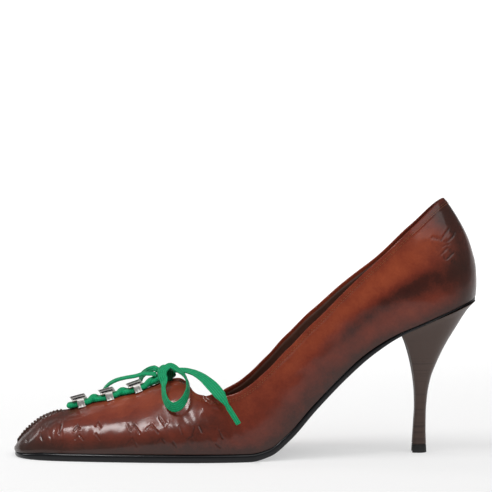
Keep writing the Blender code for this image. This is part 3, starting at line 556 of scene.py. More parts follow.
def leather_relief(points, from_sole, from_top, along, place, side):
    """How far each point of the leather stands out, in metres, and how deep a mark is there."""
    leather = settings().leather
    x, z = points[..., 0] / MM, points[..., 2] / MM
    relief, marks = np.zeros(x.shape), np.zeros(x.shape)
    # A crease is a trough with a soft ridge along one side of it
    for x1, z1, x2, z2, depth, half in SOFT_CREASES:
        off, across = stroke_distance(x, z, x1, z1, x2, z2)
        relief -= depth * MM * hump(off, half)
        relief += 0.5 * depth * MM * hump(off - 1.9 * half, half) * (across > 0)
    for middle, height, along_reach, up_reach, out in SWELLS:
        relief += out * MM * np.exp(-((x - middle) / along_reach) ** 2
                                    - ((z - height) / up_reach) ** 2)
    relief += SLIT_LIFT * hump(x - SLIT_MIDDLE, SLIT_REACH, 4) * hump(from_top, SLIT_FADE)
    # A pressed mark is narrower and throws up a bank, higher on one side
    for x1, z1, x2, z2, depth, half in PRESSED_MARKS:
        off, across = stroke_distance(x, z, x1, z1, x2, z2)
        marks = np.maximum(marks, depth * hump(off, 0.75 * half))
        bank = 0.25 * depth * hump(off - 1.7 * half, 0.8 * half)
        relief += bank * MM * np.where(across > 0, 1.0, 0.3)
    relief -= marks * MM
    # Waves of the skin, about 12 mm and 5 mm long
    relief += np.array([[noise.noise(Vector(p) * 85.0) * 0.00022
                         + noise.noise(Vector(p) * 210.0) * 0.00007 for p in row]
                        for row in points])
    # The raised toe seam swells at each stitch, with a valley and gathers beside it
    half = leather.seam_half
    beat = np.cos(2 * np.pi * (along - 0.35 * from_top) / leather.seam_pitch)
    seam = leather.seam_height * ((1 + 0.22 * beat) * hump(from_top, half, 4)
                                  - 0.40 * hump(from_top - 1.9 * half, 0.6 * half)
                                  + 0.10 * beat * hump(from_top - 2.2 * half, 1.5 * half))
    end = np.clip((SLIT_START - place) * 3.0, 0.0, 1.0)
    relief += np.where(place < SLIT_START, seam * end, 0.0)
    toe = np.clip(1.0 - place / 1.7, 0.0, 1.0)
    relief += TOE_BULGE * toe * hump(from_sole - 0.0030, 0.0040)
    # The folded edge along the collar is a step in the leather
    fold = 0.00013 / (1 + np.exp((from_top - leather.fold_width) / 0.00015))
    relief += fold * np.clip((place - 4.6) * 3.0, 0.0, 1.0)
    relief *= np.clip(0.3 + from_sole / 0.0008, 0.0, 1.0)
    return relief, marks if side < 0 else marks * 0.8


def burnish(points, from_sole, marks):
    """Lightness and greyness of the leather, from the patches and the sole's nearness: burnish with
    painted light, shade and reflection in it.
    """
    x, z = points[..., 0] / MM, points[..., 2] / MM
    light, grey = np.full(x.shape, 0.60), np.full(x.shape, 0.10)
    for px, pz, along, across, turn, lighter, greyer in BURNISH_AND_LIGHT_PATCHES:
        c, s = math.cos(math.radians(turn)), math.sin(math.radians(turn))
        u = ((x - px) * c + (z - pz) * s) / along
        v = (-(x - px) * s + (z - pz) * c) / across
        reach = np.exp(-(u ** 2 + v ** 2))
        light += lighter * reach
        grey += greyer * reach
    # Darker and greyer near the sole: partly the wax and partly painted shade and painted floor
    # reflection
    near_sole = hump(from_sole, 0.0045, 1.5)
    # Pressed marks darkened by their depth: painted shade in the grooves
    light -= 0.28 * near_sole + 0.5 * marks
    grey += 0.32 * near_sole
    return np.clip(light, 0.0, 1.0), np.clip(grey, 0.0, 1.0)


@functools.cache
def leather_places():
    return spaced_places(settings().leather.column_step, 0.0010, 0.020)


# Mesh rows of the leather per side: near the top edge, and from there to the sole
TOP_ROWS = {-1: 16, 1: 12}
BODY_ROWS = {-1: 80, 1: 38}

@functools.cache
def leather_sheet(side):
    """The outer face of one side: points, normals, distances from the top edge, light, grey."""
    leather = settings().leather
    places = leather_places()
    points, from_sole, from_top = [], [], []
    for place in places:
        total = rib_lengths(place, side)[-1] - UPPER_WALL / 2 * opened(place)
        band = min(TOP_BAND, 0.42 * total)
        distances = np.concatenate([
            np.linspace(0.0, total - band, BODY_ROWS[side], endpoint=False),
            total - band + band * np.linspace(0.0, 1.0, TOP_ROWS[side])])
        points.append(rib_points(place, side, distances))
        from_sole.append(distances)
        from_top.append(total - distances)
    points, from_sole, from_top = map(np.array, (points, from_sole, from_top))
    normals = grid_normals(points, side, places)
    place_grid = np.array(places)[:, None] * np.ones(points.shape[1])
    along = running_length(points[:, -1])[:, None]
    relief, marks = leather_relief(points, from_sole, from_top, along, place_grid, side)
    light, grey = burnish(points, from_sole, marks)
    on_ridge = np.exp(-(from_top / (1.3 * leather.seam_half)) ** 4) * (place_grid < SLIT_START)
    return (points + normals * relief[..., None], normals, from_top,
            np.clip(light - 0.22 * on_ridge, 0, 1), np.clip(grey + 0.20 * on_ridge, 0, 1))


def colour(value, light=1.0):
    return (*(part * light for part in value[:3]), 1.0)


class Look:
    """A material in the making. Each method adds one node and gives its output socket."""

    def __init__(self, name):
        self.material = bpy.data.materials.new(name)
        self.material.use_nodes = True
        self.tree = self.material.node_tree
        self.place = self.add_node("ShaderNodeTexCoord").outputs["Object"]

    def fill(self, node, values):
        """Set a node's properties and inputs, and link each input whose value is a socket."""
        for name, value in values.items():
            if isinstance(value, bpy.types.NodeSocket):
                self.tree.links.new(value, node.inputs[name])
            elif isinstance(name, str) and name in node.bl_rna.properties:
                setattr(node, name, value)
            else:
                node.inputs[name].default_value = value
        return node

    def add_node(self, kind, values=None):
        return self.fill(self.tree.nodes.new(kind), values or {})

    def noise(self, scale, detail=2.0, roughness=0.5, at=None):
        return self.add_node("ShaderNodeTexNoise", {
            "Scale": scale, "Detail": detail, "Roughness": roughness,
            "Vector": self.place if at is None else at}).outputs["Fac"]

    def cells(self, scale):
        return self.add_node("ShaderNodeTexVoronoi", {
            "feature": "DISTANCE_TO_EDGE", "Scale": scale,
            "Vector": self.place}).outputs["Distance"]

    def waves(self, direction, scale, at):
        return self.add_node("ShaderNodeTexWave", {
            "bands_direction": direction, "Scale": scale, "Vector": at}).outputs["Fac"]

    def mapped(self, at, how, by):
        return self.add_node("ShaderNodeMapping", {how: by, "Vector": at}).outputs[0]

    def compute(self, operation, first, second, third=0.0, clamp=False):
        return self.add_node("ShaderNodeMath", {
            "operation": operation, "use_clamp": clamp,
            0: first, 1: second, 2: third}).outputs[0]

    def scaled(self, value, times, plus, clamp=False):
        return self.compute("MULTIPLY_ADD", value, times, plus, clamp)

    def mix(self, share, first, second):
        return self.add_node("ShaderNodeMix", {
            "data_type": "RGBA", 0: share, 6: first, 7: second}).outputs[2]

    def uneven(self, tint, darker, lighter, share):
        """A colour that wanders between a darker and a lighter shade."""
        return self.mix(share, colour(tint, darker), colour(tint, lighter))

    def bump(self, height, strength, distance, over=None):
        values = {"Strength": strength, "Distance": distance, "Height": height}
        return self.add_node("ShaderNodeBump",
                             values if over is None else {**values, "Normal": over}).outputs[0]

    def finish(self, values):
        """Fill in the shader and give the material."""
        self.fill(self.tree.nodes["Principled BSDF"], values)
        return self.material


@functools.cache
def burnished_calf():
    """Calf dyed chestnut and burnished by hand: a dark wax is rubbed in at toe, sole and heel. The
    darker, greyer colour near the sole is partly that wax and partly painted shade and painted floor
    reflection.
    """
    look = Look("burnished calf leather")
    leather = settings().leather
    # Light, grey and the cut edges follow the surface; light and grey hold burnish and painted light,
    # shade and reflection
    patina_and_painted_light = look.add_node("ShaderNodeAttribute", {"attribute_name": "patina_and_painted_light"}).outputs["Color"]
    light, grey, cut_edge = look.add_node("ShaderNodeSeparateColor", {0: patina_and_painted_light}).outputs[:3]
    # Uneven take-up of the dye, about 8 mm and 1 mm across
    cloud = look.noise(120.0, 4.0, 0.6)
    dye = look.compute("ADD", look.scaled(cloud, 0.46, -0.23),
                       look.scaled(look.noise(900.0, 3.0), 0.20, -0.10))
    ramp = look.add_node("ShaderNodeValToRGB", {0: look.compute("ADD", light, dye, clamp=True)})
    stops = ((0.0, leather.burnt), (0.34, leather.deep), (0.66, leather.warm), (1.0, leather.bright))
    while len(ramp.color_ramp.elements) < len(stops):
        ramp.color_ramp.elements.new(0.5)
    for element, (at, tint) in zip(ramp.color_ramp.elements, stops):
        element.position = at
        element.color = colour(tint)
    # Grain of calf, cells of about 0.5 mm, over the soft unevenness of the skin
    grain = look.compute("ADD", look.cells(1700.0), look.noise(2600.0))
    return look.finish({
        "Base Color": look.mix(grey, ramp.outputs[0], colour(leather.grey)),
        "Normal": look.bump(cloud, 0.25, 0.0004, over=look.bump(grain, 0.10, 0.00012)),
        "Roughness": look.scaled(cut_edge, 0.35, look.scaled(cloud, 0.24, 0.38)),
        "Coat Weight": look.scaled(cut_edge, -0.48, 0.52),
        "Specular IOR Level": 0.15, "Coat Roughness": 0.16, "IOR": 1.45})


@functools.cache
def lining_leather():
    """Matt vegetable-tanned lining, sueded a little, which drinks the light inside the shoe."""
    look = Look("lining leather")
    return look.finish({
        "Base Color": look.uneven(settings().leather.lining, 0.75, 1.35, look.noise(300.0, 5.0)),
        "Normal": look.bump(look.noise(3000.0, 3.0), 0.25, 0.0002), "Roughness": 0.62})


@functools.cache
def waxed_thread(name, tint):
    """Waxed polyester thread, twisted, which catches small highlights on each stitch."""
    look = Look(name)
    twist = look.noise(4000.0)
    return look.finish({
        "Base Color": look.uneven(tint, 0.6, 1.3, twist),
        "Normal": look.bump(twist, 0.3, 0.0001), "Roughness": 0.65, "Specular IOR Level": 0.20})


@functools.cache
def woven_cotton(light=1.0):
    """Flat tubular lace of mercerised cotton, braided: ribs run along it, with short slanted picks.

    A light under 1 darkens the colour as painted shade, for the lace that lies pinched in the knot,
    where little light gets in.
    """
    look = Look("woven cotton lace" if light == 1.0 else "painted shade cotton lace")
    lace = settings().lace
    along = look.add_node("ShaderNodeUVMap", {"uv_map": "lace"}).outputs[0]
    # Ribs 1.2 mm apart and picks 0.9 mm long, which is coarser than the real braid so that they show
    ribs = look.waves("Y", 262.0, along)
    slanted = look.mapped(along, "Rotation", (0.0, 0.0, math.radians(32.0)))
    weave = look.scaled(look.waves("X", 349.0, slanted), 0.45, ribs)
    # The lace shade colour fills the weave's grooves: painted shade between the threads
    share = look.scaled(weave, 0.50, 0.22, clamp=True)
    # The woven tube is hollow, so it crumples in soft folds about 4 mm long
    folds = look.bump(look.noise(240.0), 0.8, 0.0016)
    return look.finish({
        "Base Color": look.mix(share, colour(lace.shade, light), colour(lace.green, light)),
        "Normal": look.bump(weave, 0.55, 0.00022, over=folds), "Roughness": 0.62,
        "Specular IOR Level": 0.25, "Sheen Weight": 0.08, "Sheen Roughness": 0.4})


@functools.cache
def nickel_plate():
    """Polished nickel over cast brass: bright edges, with fine wiping marks; the dark in the slots is
    painted shade from the boxes under them.
    """
    look = Look("polished nickel plate")
    return look.finish({
        "Base Color": colour(settings().lace.metal), "Metallic": 1.0,
        "Roughness": look.scaled(look.noise(1500.0, 4.0), 0.16, 0.30)})


@functools.cache
def painted_slot_shade():
    """Painted shade under the slots of a bridge: a dark metal colour stands in for the shade deep in
    the slots.
    """
    look = Look("painted slot shade metal")
    return look.finish({
        "Base Color": colour(linear("#1B1716")), "Metallic": 0.6,
        "Roughness": look.scaled(look.noise(800.0), 0.2, 0.4)})


@functools.cache
def painted_sole():
    """Sole leather trimmed, then painted black and waxed: a deep gloss with faint trimming marks."""
    look = Look("black waxed sole leather")
    trimmed = look.noise(1.0, 3.0, at=look.mapped(look.place, "Scale", (60.0, 60.0, 1200.0)))
    return look.finish({
        "Base Color": colour(settings().sole.edge), "Normal": look.bump(trimmed, 0.06, 0.0002),
        "Roughness": look.scaled(trimmed, 0.16, 0.24), "Specular IOR Level": 0.30,
        "Coat Weight": 0.15, "Coat Roughness": 0.12})


@functools.cache
def stacked_heel():
    """Stacked heel leather: thin layers glued, turned to shape, stained and waxed, so fine level
    lines of lighter and darker brown run round the heel."""
    look = Look("stacked heel leather")
    sole = settings().sole
    lines = look.noise(1.0, 4.0, 0.65, at=look.mapped(look.place, "Scale", (14.0, 14.0, 640.0)))
    # The heel is a little lighter towards its seat
    height = look.add_node("ShaderNodeSeparateXYZ", {0: look.place}).outputs["Z"]
    rise = look.add_node("ShaderNodeMapRange", {1: 0.0, 2: 0.070, 3: 0.0, 4: 0.22, 0: height})
    layers = look.scaled(lines, 1.5, rise.outputs[0])
    stained = look.scaled(look.noise(90.0, 3.0), 0.35, layers, clamp=True)
    share = look.compute("SUBTRACT", stained, 0.55, clamp=True)
    return look.finish({
        "Base Color": look.mix(share, colour(sole.heel_dark), colour(sole.heel_light)),
        "Normal": look.bump(lines, 0.30, 0.0002), "Roughness": 0.42,
        "Specular IOR Level": 0.35, "Coat Weight": 0.12, "Coat Roughness": 0.2})


@functools.cache
def lift_rubber():
    """Moulded hard rubber, matt, with a fine even grain."""
    look = Look("moulded lift rubber")
    return look.finish({
        "Base Color": colour(settings().sole.lift),
        "Normal": look.bump(look.noise(5000.0, 1.0), 0.2, 0.0001), "Roughness": 0.55})


@functools.cache
def sock_leather():
    """Smooth sheep lining on the foot bed, satin, with soft pores and a little unevenness."""
    look = Look("sock leather")
    return look.finish({
        "Base Color": look.uneven(settings().sole.sock, 0.8, 1.25, look.noise(150.0, 4.0)),
        "Normal": look.bump(look.cells(1800.0), 0.15, 0.0001), "Roughness": 0.5})


@functools.cache
def pale_floor():
    """Matt opal sweep, lit softly from below as a light table is, so that shadows stay pale."""
    look = Look("opal sweep")
    stage = settings().stage
    return look.finish({
        "Base Color": look.uneven(stage.floor, 0.985, 1.0, look.noise(3.0)), "Roughness": 0.9,
        "Specular IOR Level": 0.2, "Emission Color": (1.0, 1.0, 1.0, 1.0),
        "Emission Strength": stage.glow})


def finish_piece(name, form, material, replaces=(), sharp=None, normals=True):
    """Make the object of a piece from its bmesh, smooth, riding on the shoe."""
    if normals:
        bmesh.ops.recalc_face_normals(form, faces=form.faces)
    mesh = bpy.data.meshes.new(name)
    form.to_mesh(mesh)
    form.free()
    mesh.shade_smooth()
    if sharp:
        mesh.set_sharp_from_angle(angle=math.radians(sharp))
    mesh.materials.append(material)
    piece = bpy.data.objects.new(name, mesh)
    bpy.context.collection.objects.link(piece)
    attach(piece, "root")
    if replaces:
        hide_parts(*replaces)
    return piece


def laid_grid(columns, rows, point):
    """A grid whose vertices are laid on a surface: point(column, row) gives each place."""
    grid = bmesh.new()
    bmesh.ops.create_grid(grid, x_segments=columns, y_segments=rows, size=1.0)
    grid.verts.index_update()
    for vertex, (i, j) in zip(grid.verts, index_of_grid(columns, rows)):
        vertex.co = point(i, j)
    return grid


@functools.cache
def index_of_grid(columns, rows):
    """Column and row of each vertex that create_grid makes, in its order."""
    grid = bmesh.new()
    bmesh.ops.create_grid(grid, x_segments=columns, y_segments=rows, size=1.0)
    found = [(round((v.co.x + 1) / 2 * columns), round((v.co.y + 1) / 2 * rows))
             for v in grid.verts]
    grid.free()
    return found


def weld(form):
    bmesh.ops.remove_doubles(form, verts=form.verts, dist=1e-6)
    bmesh.ops.dissolve_degenerate(form, edges=form.edges, dist=1e-7)


def close_form(form):
    """Weld the seam of a form and fill its open ends."""
    weld(form)
    bmesh.ops.holes_fill(form, edges=[e for e in form.edges if e.is_boundary], sides=0)
    return form


def smooth_line(points, count):
    """Evenly spaced points on a smooth curve through the given ones."""
    points = [Vector(p) for p in points]
    fine = []
    for before, start, end, after in zip([points[0], *points], points, points[1:],
                                         [*points[2:], points[-1]]):
        fine += [hermite(step / 16, start, end, (end - before) / 2, (after - start) / 2)
                 for step in range(16)]
    fine = np.array([tuple(p) for p in [*fine, points[-1]]])
    lengths = running_length(fine)
    goals = np.linspace(0.0, lengths[-1], count)
    return [Vector([np.interp(goal, lengths, fine[:, axis]) for axis in range(3)]) for goal in goals]


def interpolate(values, share):
    """A value, or a vector, of a short list at a share of its way."""
    place = share * (len(values) - 1)
    row = min(int(place), len(values) - 2)
    t = place - row
    ease = t * t * (3 - 2 * t)
    a, b = values[row], values[row + 1]
    if isinstance(a, (int, float)):
        return a + (b - a) * ease
    return Vector(a).lerp(Vector(b), ease)


def powered(value, power):
    """A sine or cosine raised to a power with its sign kept, which squares off a round section."""
    return math.copysign(abs(value) ** power, value)


def lay_lace_map(form, columns, rows, place):
    """Lay the weave's map, in metres: u runs along the lace and v across it.

    It is laid before the seam is welded, and place(column, row) gives each value.
    """
    mapping = form.loops.layers.uv.new("lace")
    ordered = index_of_grid(columns, rows)
    form.verts.index_update()
    for face in form.faces:
        for loop in face.loops:
            loop[mapping].uv = place(*ordered[loop.vert.index])


def flat_band(route, facings, widths, thicknesses, around=14, cup=0.0):
    """A flat woven band along a route: facings, widths and thicknesses are spread over its length."""
    count = len(route)
    rows = []
    for i, spot in enumerate(route):
        run = (route[min(i + 1, count - 1)] - route[max(i - 1, 0)]).normalized()
        face = interpolate(facings, i / (count - 1))
        across = run.cross(face).normalized()
        face = across.cross(run).normalized()
        width = interpolate(widths, i / (count - 1)) / 2
        thick = interpolate(thicknesses, i / (count - 1)) / 2
        rows.append((spot, across, face, width, thick))
    steps = [0.0]
    for a, b in zip(route, route[1:]):
        steps.append(steps[-1] + (b - a).length)

    def sideways(j):
        return powered(math.cos(2 * math.pi * (j % around) / around), 0.75)

    def shape(i, j):
        spot, across, face, width, thick = rows[i]
        u = sideways(j)
        v = powered(math.sin(2 * math.pi * (j % around) / around), 0.85)
        return spot + across * width * u + face * (thick * v + cup * width * (u * u - 0.4))

    band = laid_grid(count - 1, around, shape)
    lay_lace_map(band, count - 1, around, lambda i, j: (steps[i], rows[i][3] * sideways(j)))
    return close_form(band)


def knot_exit(direction):
    """Two places of a strand that leaves the knot: just clear of its face and a little on."""
    way = Vector(direction).normalized()
    reach = 1 / math.sqrt(sum((w / r) ** 2 for w, r in zip(way, KNOT_RADII)))
    face = Vector(KNOT_CENTRE) + way * (reach + FIT_GAP + CORD_DIAMETER * 0.15)
    normal = Vector([w * reach / r ** 2 for w, r in zip(way, KNOT_RADII)]).normalized()
    return face, face + normal * CORD_DIAMETER * 0.6


# How each free stretch of lace faces and how wide it shows, from its start to its end. A facing is
# the direction that its flat side looks; a width and a thickness are shares of the lace's own.
BOW_STRETCHES = {
    "lace_loop_near": {
        "facings": ((-0.3, -0.7, 1.0), (-0.4, -1.0, 0.4), (-0.6, -0.9, 0.1), (-0.9, -0.9, 0.0),
                    (-0.4, -1.0, -0.4), (0.4, -0.9, -0.5), (0.9, -0.45, 0.0), (0.9, -0.40, 0.2),
                    (0.6, -0.6, 0.8), (0.2, -0.8, 1.0)),
        "widths": (0.85, 0.95, 0.55, 0.85, 1.05, 1.00, 0.90, 0.85, 0.85, 0.80),
    },
    "lace_loop_far": {
        "facings": ((0.0, -1.0, 0.3), (-0.2, -1.0, 0.2), (-0.6, -0.8, 0.3), (-1.0, -0.2, 0.2),
                    (-0.6, 0.6, -0.2), (0.3, 0.9, -0.1), (0.8, 0.5, 0.3), (0.6, -0.4, 0.8),
                    (0.2, -0.8, 1.0)),
        "widths": (0.55, 0.66, 0.72, 0.90, 0.95, 1.0, 0.95, 0.9, 0.75),
    },
    "lace_end_near": {
        "facings": ((0.0, -0.6, 1.0), (0.1, -0.8, 0.8), (0.3, -1.0, 0.7), (0.3, -1.0, 0.5),
                    (0.2, -1.0, 0.3), (0.1, -1.0, 0.2)),
        "widths": (0.58, 0.74, 0.90, 1.05, 1.20, 1.12, 0.45),
    },
    "lace_end_far": {
        "facings": ((0.0, -0.7, 0.9), (0.0, -0.5, 0.9), (-0.1, -0.5, 0.9), (-0.4, -0.5, 0.7),
                    (-0.8, -0.4, 0.5), (-0.9, -0.2, 0.3)),
        "widths": (0.60, 0.58, 0.55, 0.58, 0.62, 0.50),
    },
}


def bow_stops():
    """The places that each stretch of the bow passes."""
    return {
        "lace_loop_near": (*OVER_THE_KNOT, *NEAR_LOOP, *reversed(knot_exit(NEAR_LOOP_RETURNS))),
        "lace_loop_far": (*knot_exit(FAR_LOOP_LEAVES), *FAR_LOOP,
                          *reversed(knot_exit(FAR_LOOP_RETURNS))),
        "lace_end_near": (*knot_exit(NEAR_END_LEAVES), *NEAR_END),
        "lace_end_far": (*knot_exit(FAR_END_LEAVES), *FAR_END),
    }


def make_aglet(name, end_points):
    """A stiff tip: the lace rolled and set hard, with a rim round a hollow end."""
    lace = settings().lace
    start = Vector(end_points[-1])
    run = (start - Vector(end_points[-2])).normalized()
    run = (run + AGLET_HANGS).normalized()
    radius = lace.aglet_diameter / 2
    length = lace.aglet_length
    # Distance along and share of the radius, from the lace over the rim and into the hollow end
    turned = ((-0.0012, 0.62), (0.0, 0.86), (0.0012, 1.0), (length * 0.5, 0.97),
              (length - 0.0005, 1.0), (length, 0.93), (length + 0.0001, 0.80),
              (length - 0.0006, 0.66), (length - 0.0022, 0.55), (length - 0.0023, 0.05))
    around = 24
    side = run.orthogonal().normalized()
    other = run.cross(side)

    def shape(i, j):
        along, share = turned[j]
        angle = 2 * math.pi * (i % around) / around
        rim = 1 + 0.03 * math.sin(3 * angle)
        return (start + run * (FIT_GAP + along)
                + (side * math.cos(angle) + other * math.sin(angle)) * radius * share * rim)

    tip = laid_grid(around, len(turned) - 1, shape)
    lay_lace_map(tip, around, len(turned) - 1,
                 lambda i, j: (turned[j][0], i / around * 2 * math.pi * radius))
    return finish_piece(name + "_tip", close_form(tip), woven_cotton(), (name,))


def make_knot():
    """The knot: a lump with folds, wider along the shoe, and one turn of the lace round it."""
    lace = settings().lace
    centre = Vector(KNOT_CENTRE)
    knot = bmesh.new()
    bmesh.ops.create_uvsphere(knot, u_segments=40, v_segments=24, radius=1.0)
    for vertex in knot.verts:
        spot = vertex.co.copy()
        fold = 0.10 * math.sin(6.0 * spot.z + 3.0 * spot.y + 2.0 * spot.x)
        vertex.co = Vector([a * b for a, b in zip(spot * (0.94 + fold), KNOT_RADII)])
        vertex.co.x = vertex.co.x * KNOT_STRETCH + KNOT_SETBACK
        vertex.co += centre
    mapping = knot.loops.layers.uv.new("lace")
    for face in knot.faces:
        for loop in face.loops:
            off = loop.vert.co - centre
            loop[mapping].uv = (off.z + off.y * 0.4, off.x)
    # The knot's core gets the lace colour darkened as painted shade
    finish_piece("lace_knot_core", knot, woven_cotton(PAINTED_SHADE_IN_KNOT), ("lace_knot",))
    turns = []
    for step in range(33):
        angle = 2 * math.pi * step / 32
        turns.append(centre + Vector((
            math.cos(angle) * KNOT_RADII[0] * WRAP_REACH * 0.9, -0.0006 + 0.0012 * math.sin(angle),
            math.sin(angle) * KNOT_RADII[2] * WRAP_REACH)))
    wrap = flat_band(turns, [(p - centre).normalized() for p in turns], [lace.width * 0.82] * 2,
                     [lace.thickness * 0.9] * 2, cup=-0.10)
    finish_piece("lace_knot_wrap", wrap, woven_cotton())


def operator(cls):
    """Every builder can be undone from the interface."""
    cls.bl_options = {"REGISTER", "UNDO"}
    return cls


@operator
class LACEUPHEEL_OT_camera(bpy.types.Operator):
    """Stand the camera level with the shoe's side, looking slightly down"""
    bl_idname = "lace_up_heel.camera"
    bl_label = "Camera"

    def execute(self, context):
        stage = settings().stage
        camera = bpy.data.cameras.new("camera")
        camera.sensor_fit = "HORIZONTAL"
        camera.sensor_width = 36.0
        camera.lens = stage.lens
        camera.clip_end = 20.0
        holder = bpy.data.objects.new("camera", camera)
        holder.location = (stage.middle, -stage.distance, stage.height)
        look = Matrix.Rotation(math.radians(90.0) - stage.down, 3, "X")
        holder.rotation_euler = (look @ Matrix.Rotation(stage.roll, 3, "Z")).to_euler()
        context.collection.objects.link(holder)
        context.scene.camera = holder
        return {"FINISHED"}


@operator
class LACEUPHEEL_OT_bow(bpy.types.Operator):
    """Tie the bow: two loops, two ends with stiff tips, and the knot"""
    bl_idname = "lace_up_heel.bow"
    bl_label = "Bow"

    def execute(self, context):
        lace = settings().lace
        tips = {"lace_end_near": make_aglet("aglet_near", NEAR_END),
                "lace_end_far": make_aglet("aglet_far", FAR_END)}
        for name, stops in bow_stops().items():
            route = smooth_line(stops, 64)
            widths = [share * lace.width for share in BOW_STRETCHES[name]["widths"]]
            band = flat_band(route, BOW_STRETCHES[name]["facings"], widths, [lace.thickness] * 2,
                             cup=0.10)
            piece = finish_piece(name + "_band", band, woven_cotton(), (name,))
        make_knot()
        return {"FINISHED"}


@functools.cache
def vamp_samples(side):
    return [Vector(p) for place in np.arange(1.0, 6.01, 1 / 12)
            for p in bezier(rib(float(place), side), np.arange(16, 41) / 40)]


def leather_height(x, y):
    """Height of the vamp's outer face over a point near the lacing, from the nearest samples."""
    spot = Vector((x, y))
    near = sorted(vamp_samples(-1 if y < 0 else 1), key=lambda p: (p.xy - spot).length)[:3]
    weights = [1 / ((p.xy - spot).length + 1e-6) for p in near]
    return sum(p.z * w for p, w in zip(near, weights)) / sum(weights) + 0.8 * SLIT_LIFT


@functools.cache
def bridge_place(number):
    """Where a bridge stands along the shoe, the leather's height there and its slope."""
    x = along_to_x(BRIDGE_FRONT) + number * BRIDGE_PITCH * FOOT_LENGTH
    reach = BRIDGE_LENGTH / 2
    rise = leather_height(x + reach, -MM) - leather_height(x - reach, -MM)
    return x, leather_height(x, -MM), math.atan2(rise, 2 * reach)


@operator
class LACEUPHEEL_OT_lacing(bpy.types.Operator):
    """Run the lace under the bridges, crossing between them, from its turn in front to the knot"""
    bl_idname = "lace_up_heel.lacing"
    bl_label = "Lacing"

    def execute(self, context):
        lace = settings().lace
        places = [bridge_place(number)[0] for number in range(BRIDGE_COUNT)]
        pitch = places[1] - places[0]
        low = LACED_LOW
        high = low + lace.laced_thickness * 0.55
        ramp = low + 0.15 * (high - low)
        # Along, across, and the heights over the leather of the near strand and of the far one
        stops = []
        for number, place in enumerate(places):
            lane = LACED_LANE * (-1 if number % 2 else 1)
            crossed, under = (low, high) if number % 2 else (high, low)
            stops += [(place - BRIDGE_LENGTH / 2, lane, ramp, ramp), (place, lane, low, low),
                      (place + BRIDGE_LENGTH / 2, lane, ramp, ramp),
                      (place + pitch / 2, 0.0, crossed, under)]

        def lay(stop, side):
            x, y, near_lift, far_lift = stop
            return Vector((x, side * y, leather_height(x, side * y)
                           + (near_lift if side < 0 else far_lift)))

        def at_knot(side):
            return Vector((KNOT_CENTRE[0] - KNOT_RADII[0] * 0.7, -side * LACED_LANE * 0.8,
                           KNOT_CENTRE[2] - 0.4 * KNOT_RADII[2]))

        front_x = places[0] - BRIDGE_LENGTH * 0.50
        front = Vector((front_x, 0.0, leather_height(front_x, 0.0) + low))
        far = [at_knot(1)] + [lay(stop, 1) for stop in reversed(stops)]
        near = [lay(stop, -1) for stop in stops] + [at_knot(-1)]
        # The lace is drawn narrow between the bridges, so it shows as a row of full, round strands
        band = flat_band(smooth_line(far + [front] + near, 240), [(0.0, 0.0, 1.0)] * 2,
                         [lace.laced_width] * 2, [lace.laced_thickness] * 2, around=16)
        finish_piece("lace_crossing_band", band, woven_cotton(), ("lace_crossings",))
        return {"FINISHED"}


# Across one bridge, from its middle to its leg, in millimetres: the edges of its bars and slots,
# and how far the arch has dropped there
BRIDGE_EDGES = (0.0, 0.85, 2.70, 3.60, 4.10, 4.45)
BRIDGE_DROPS = (0.0, 0.02, 0.20, 0.42, 0.90, 1.70)
SLOT = 1
# Along one bridge, in millimetres: its ends, the ends of its slots and the edges of the leg's ribs
BRIDGE_ENDS = (-4.10, -3.40, -1.80, -1.00, -0.75, -0.50, 0.90, 1.15, 1.40, 2.20, 3.40, 4.10)
BRIDGE_GROOVES = (-0.75, 1.15)
BRIDGE_OUTER = BRIDGE_EDGES[-1] * MM
LEG_COLUMNS = range(2, 9)
LEG_MIDDLE = 0.2 * MM
GROOVE_DEPTH = 0.0003
BRIDGE_CROWN = 0.0055
BRIDGE_TURN = math.radians(15.0)
BRIDGE_TILT = math.radians(16.0)
# The tilt swings the legs towards the outer side, so each bridge is set back by this much
BRIDGE_SHIFT = 0.00077


def pierced_plate():
    """The arched plate of a bridge, with its slots and with its sides cut back beside the legs."""
    across = [-e for e in reversed(BRIDGE_EDGES[1:])] + list(BRIDGE_EDGES)
    drops = list(reversed(BRIDGE_DROPS[1:])) + list(BRIDGE_DROPS)
    columns, rows = len(BRIDGE_ENDS) - 1, len(across) - 1
    half = rows // 2
    plate = bmesh.new()
    bmesh.ops.create_grid(plate, x_segments=columns, y_segments=rows, size=1.0)
    open_faces = []
    for face in plate.faces:
        middle = face.calc_center_median()
        i, j = int((middle.x + 1) / 2 * columns), int((middle.y + 1) / 2 * rows)
        k = j - half if j >= half else half - 1 - j
        if k == SLOT and 1 <= i <= columns - 2 or k >= half - 2 and i not in LEG_COLUMNS:
            open_faces.append(face)
    for vertex in plate.verts:
        i, j = round((vertex.co.x + 1) / 2 * columns), round((vertex.co.y + 1) / 2 * rows)
        vertex.co = Vector((BRIDGE_ENDS[i], across[j], BRIDGE_CROWN / MM - drops[j])) * MM
    bmesh.ops.delete(plate, geom=open_faces, context="FACES")
    bmesh.ops.delete(plate, geom=[v for v in plate.verts if not v.link_faces], context="VERTS")
    return plate


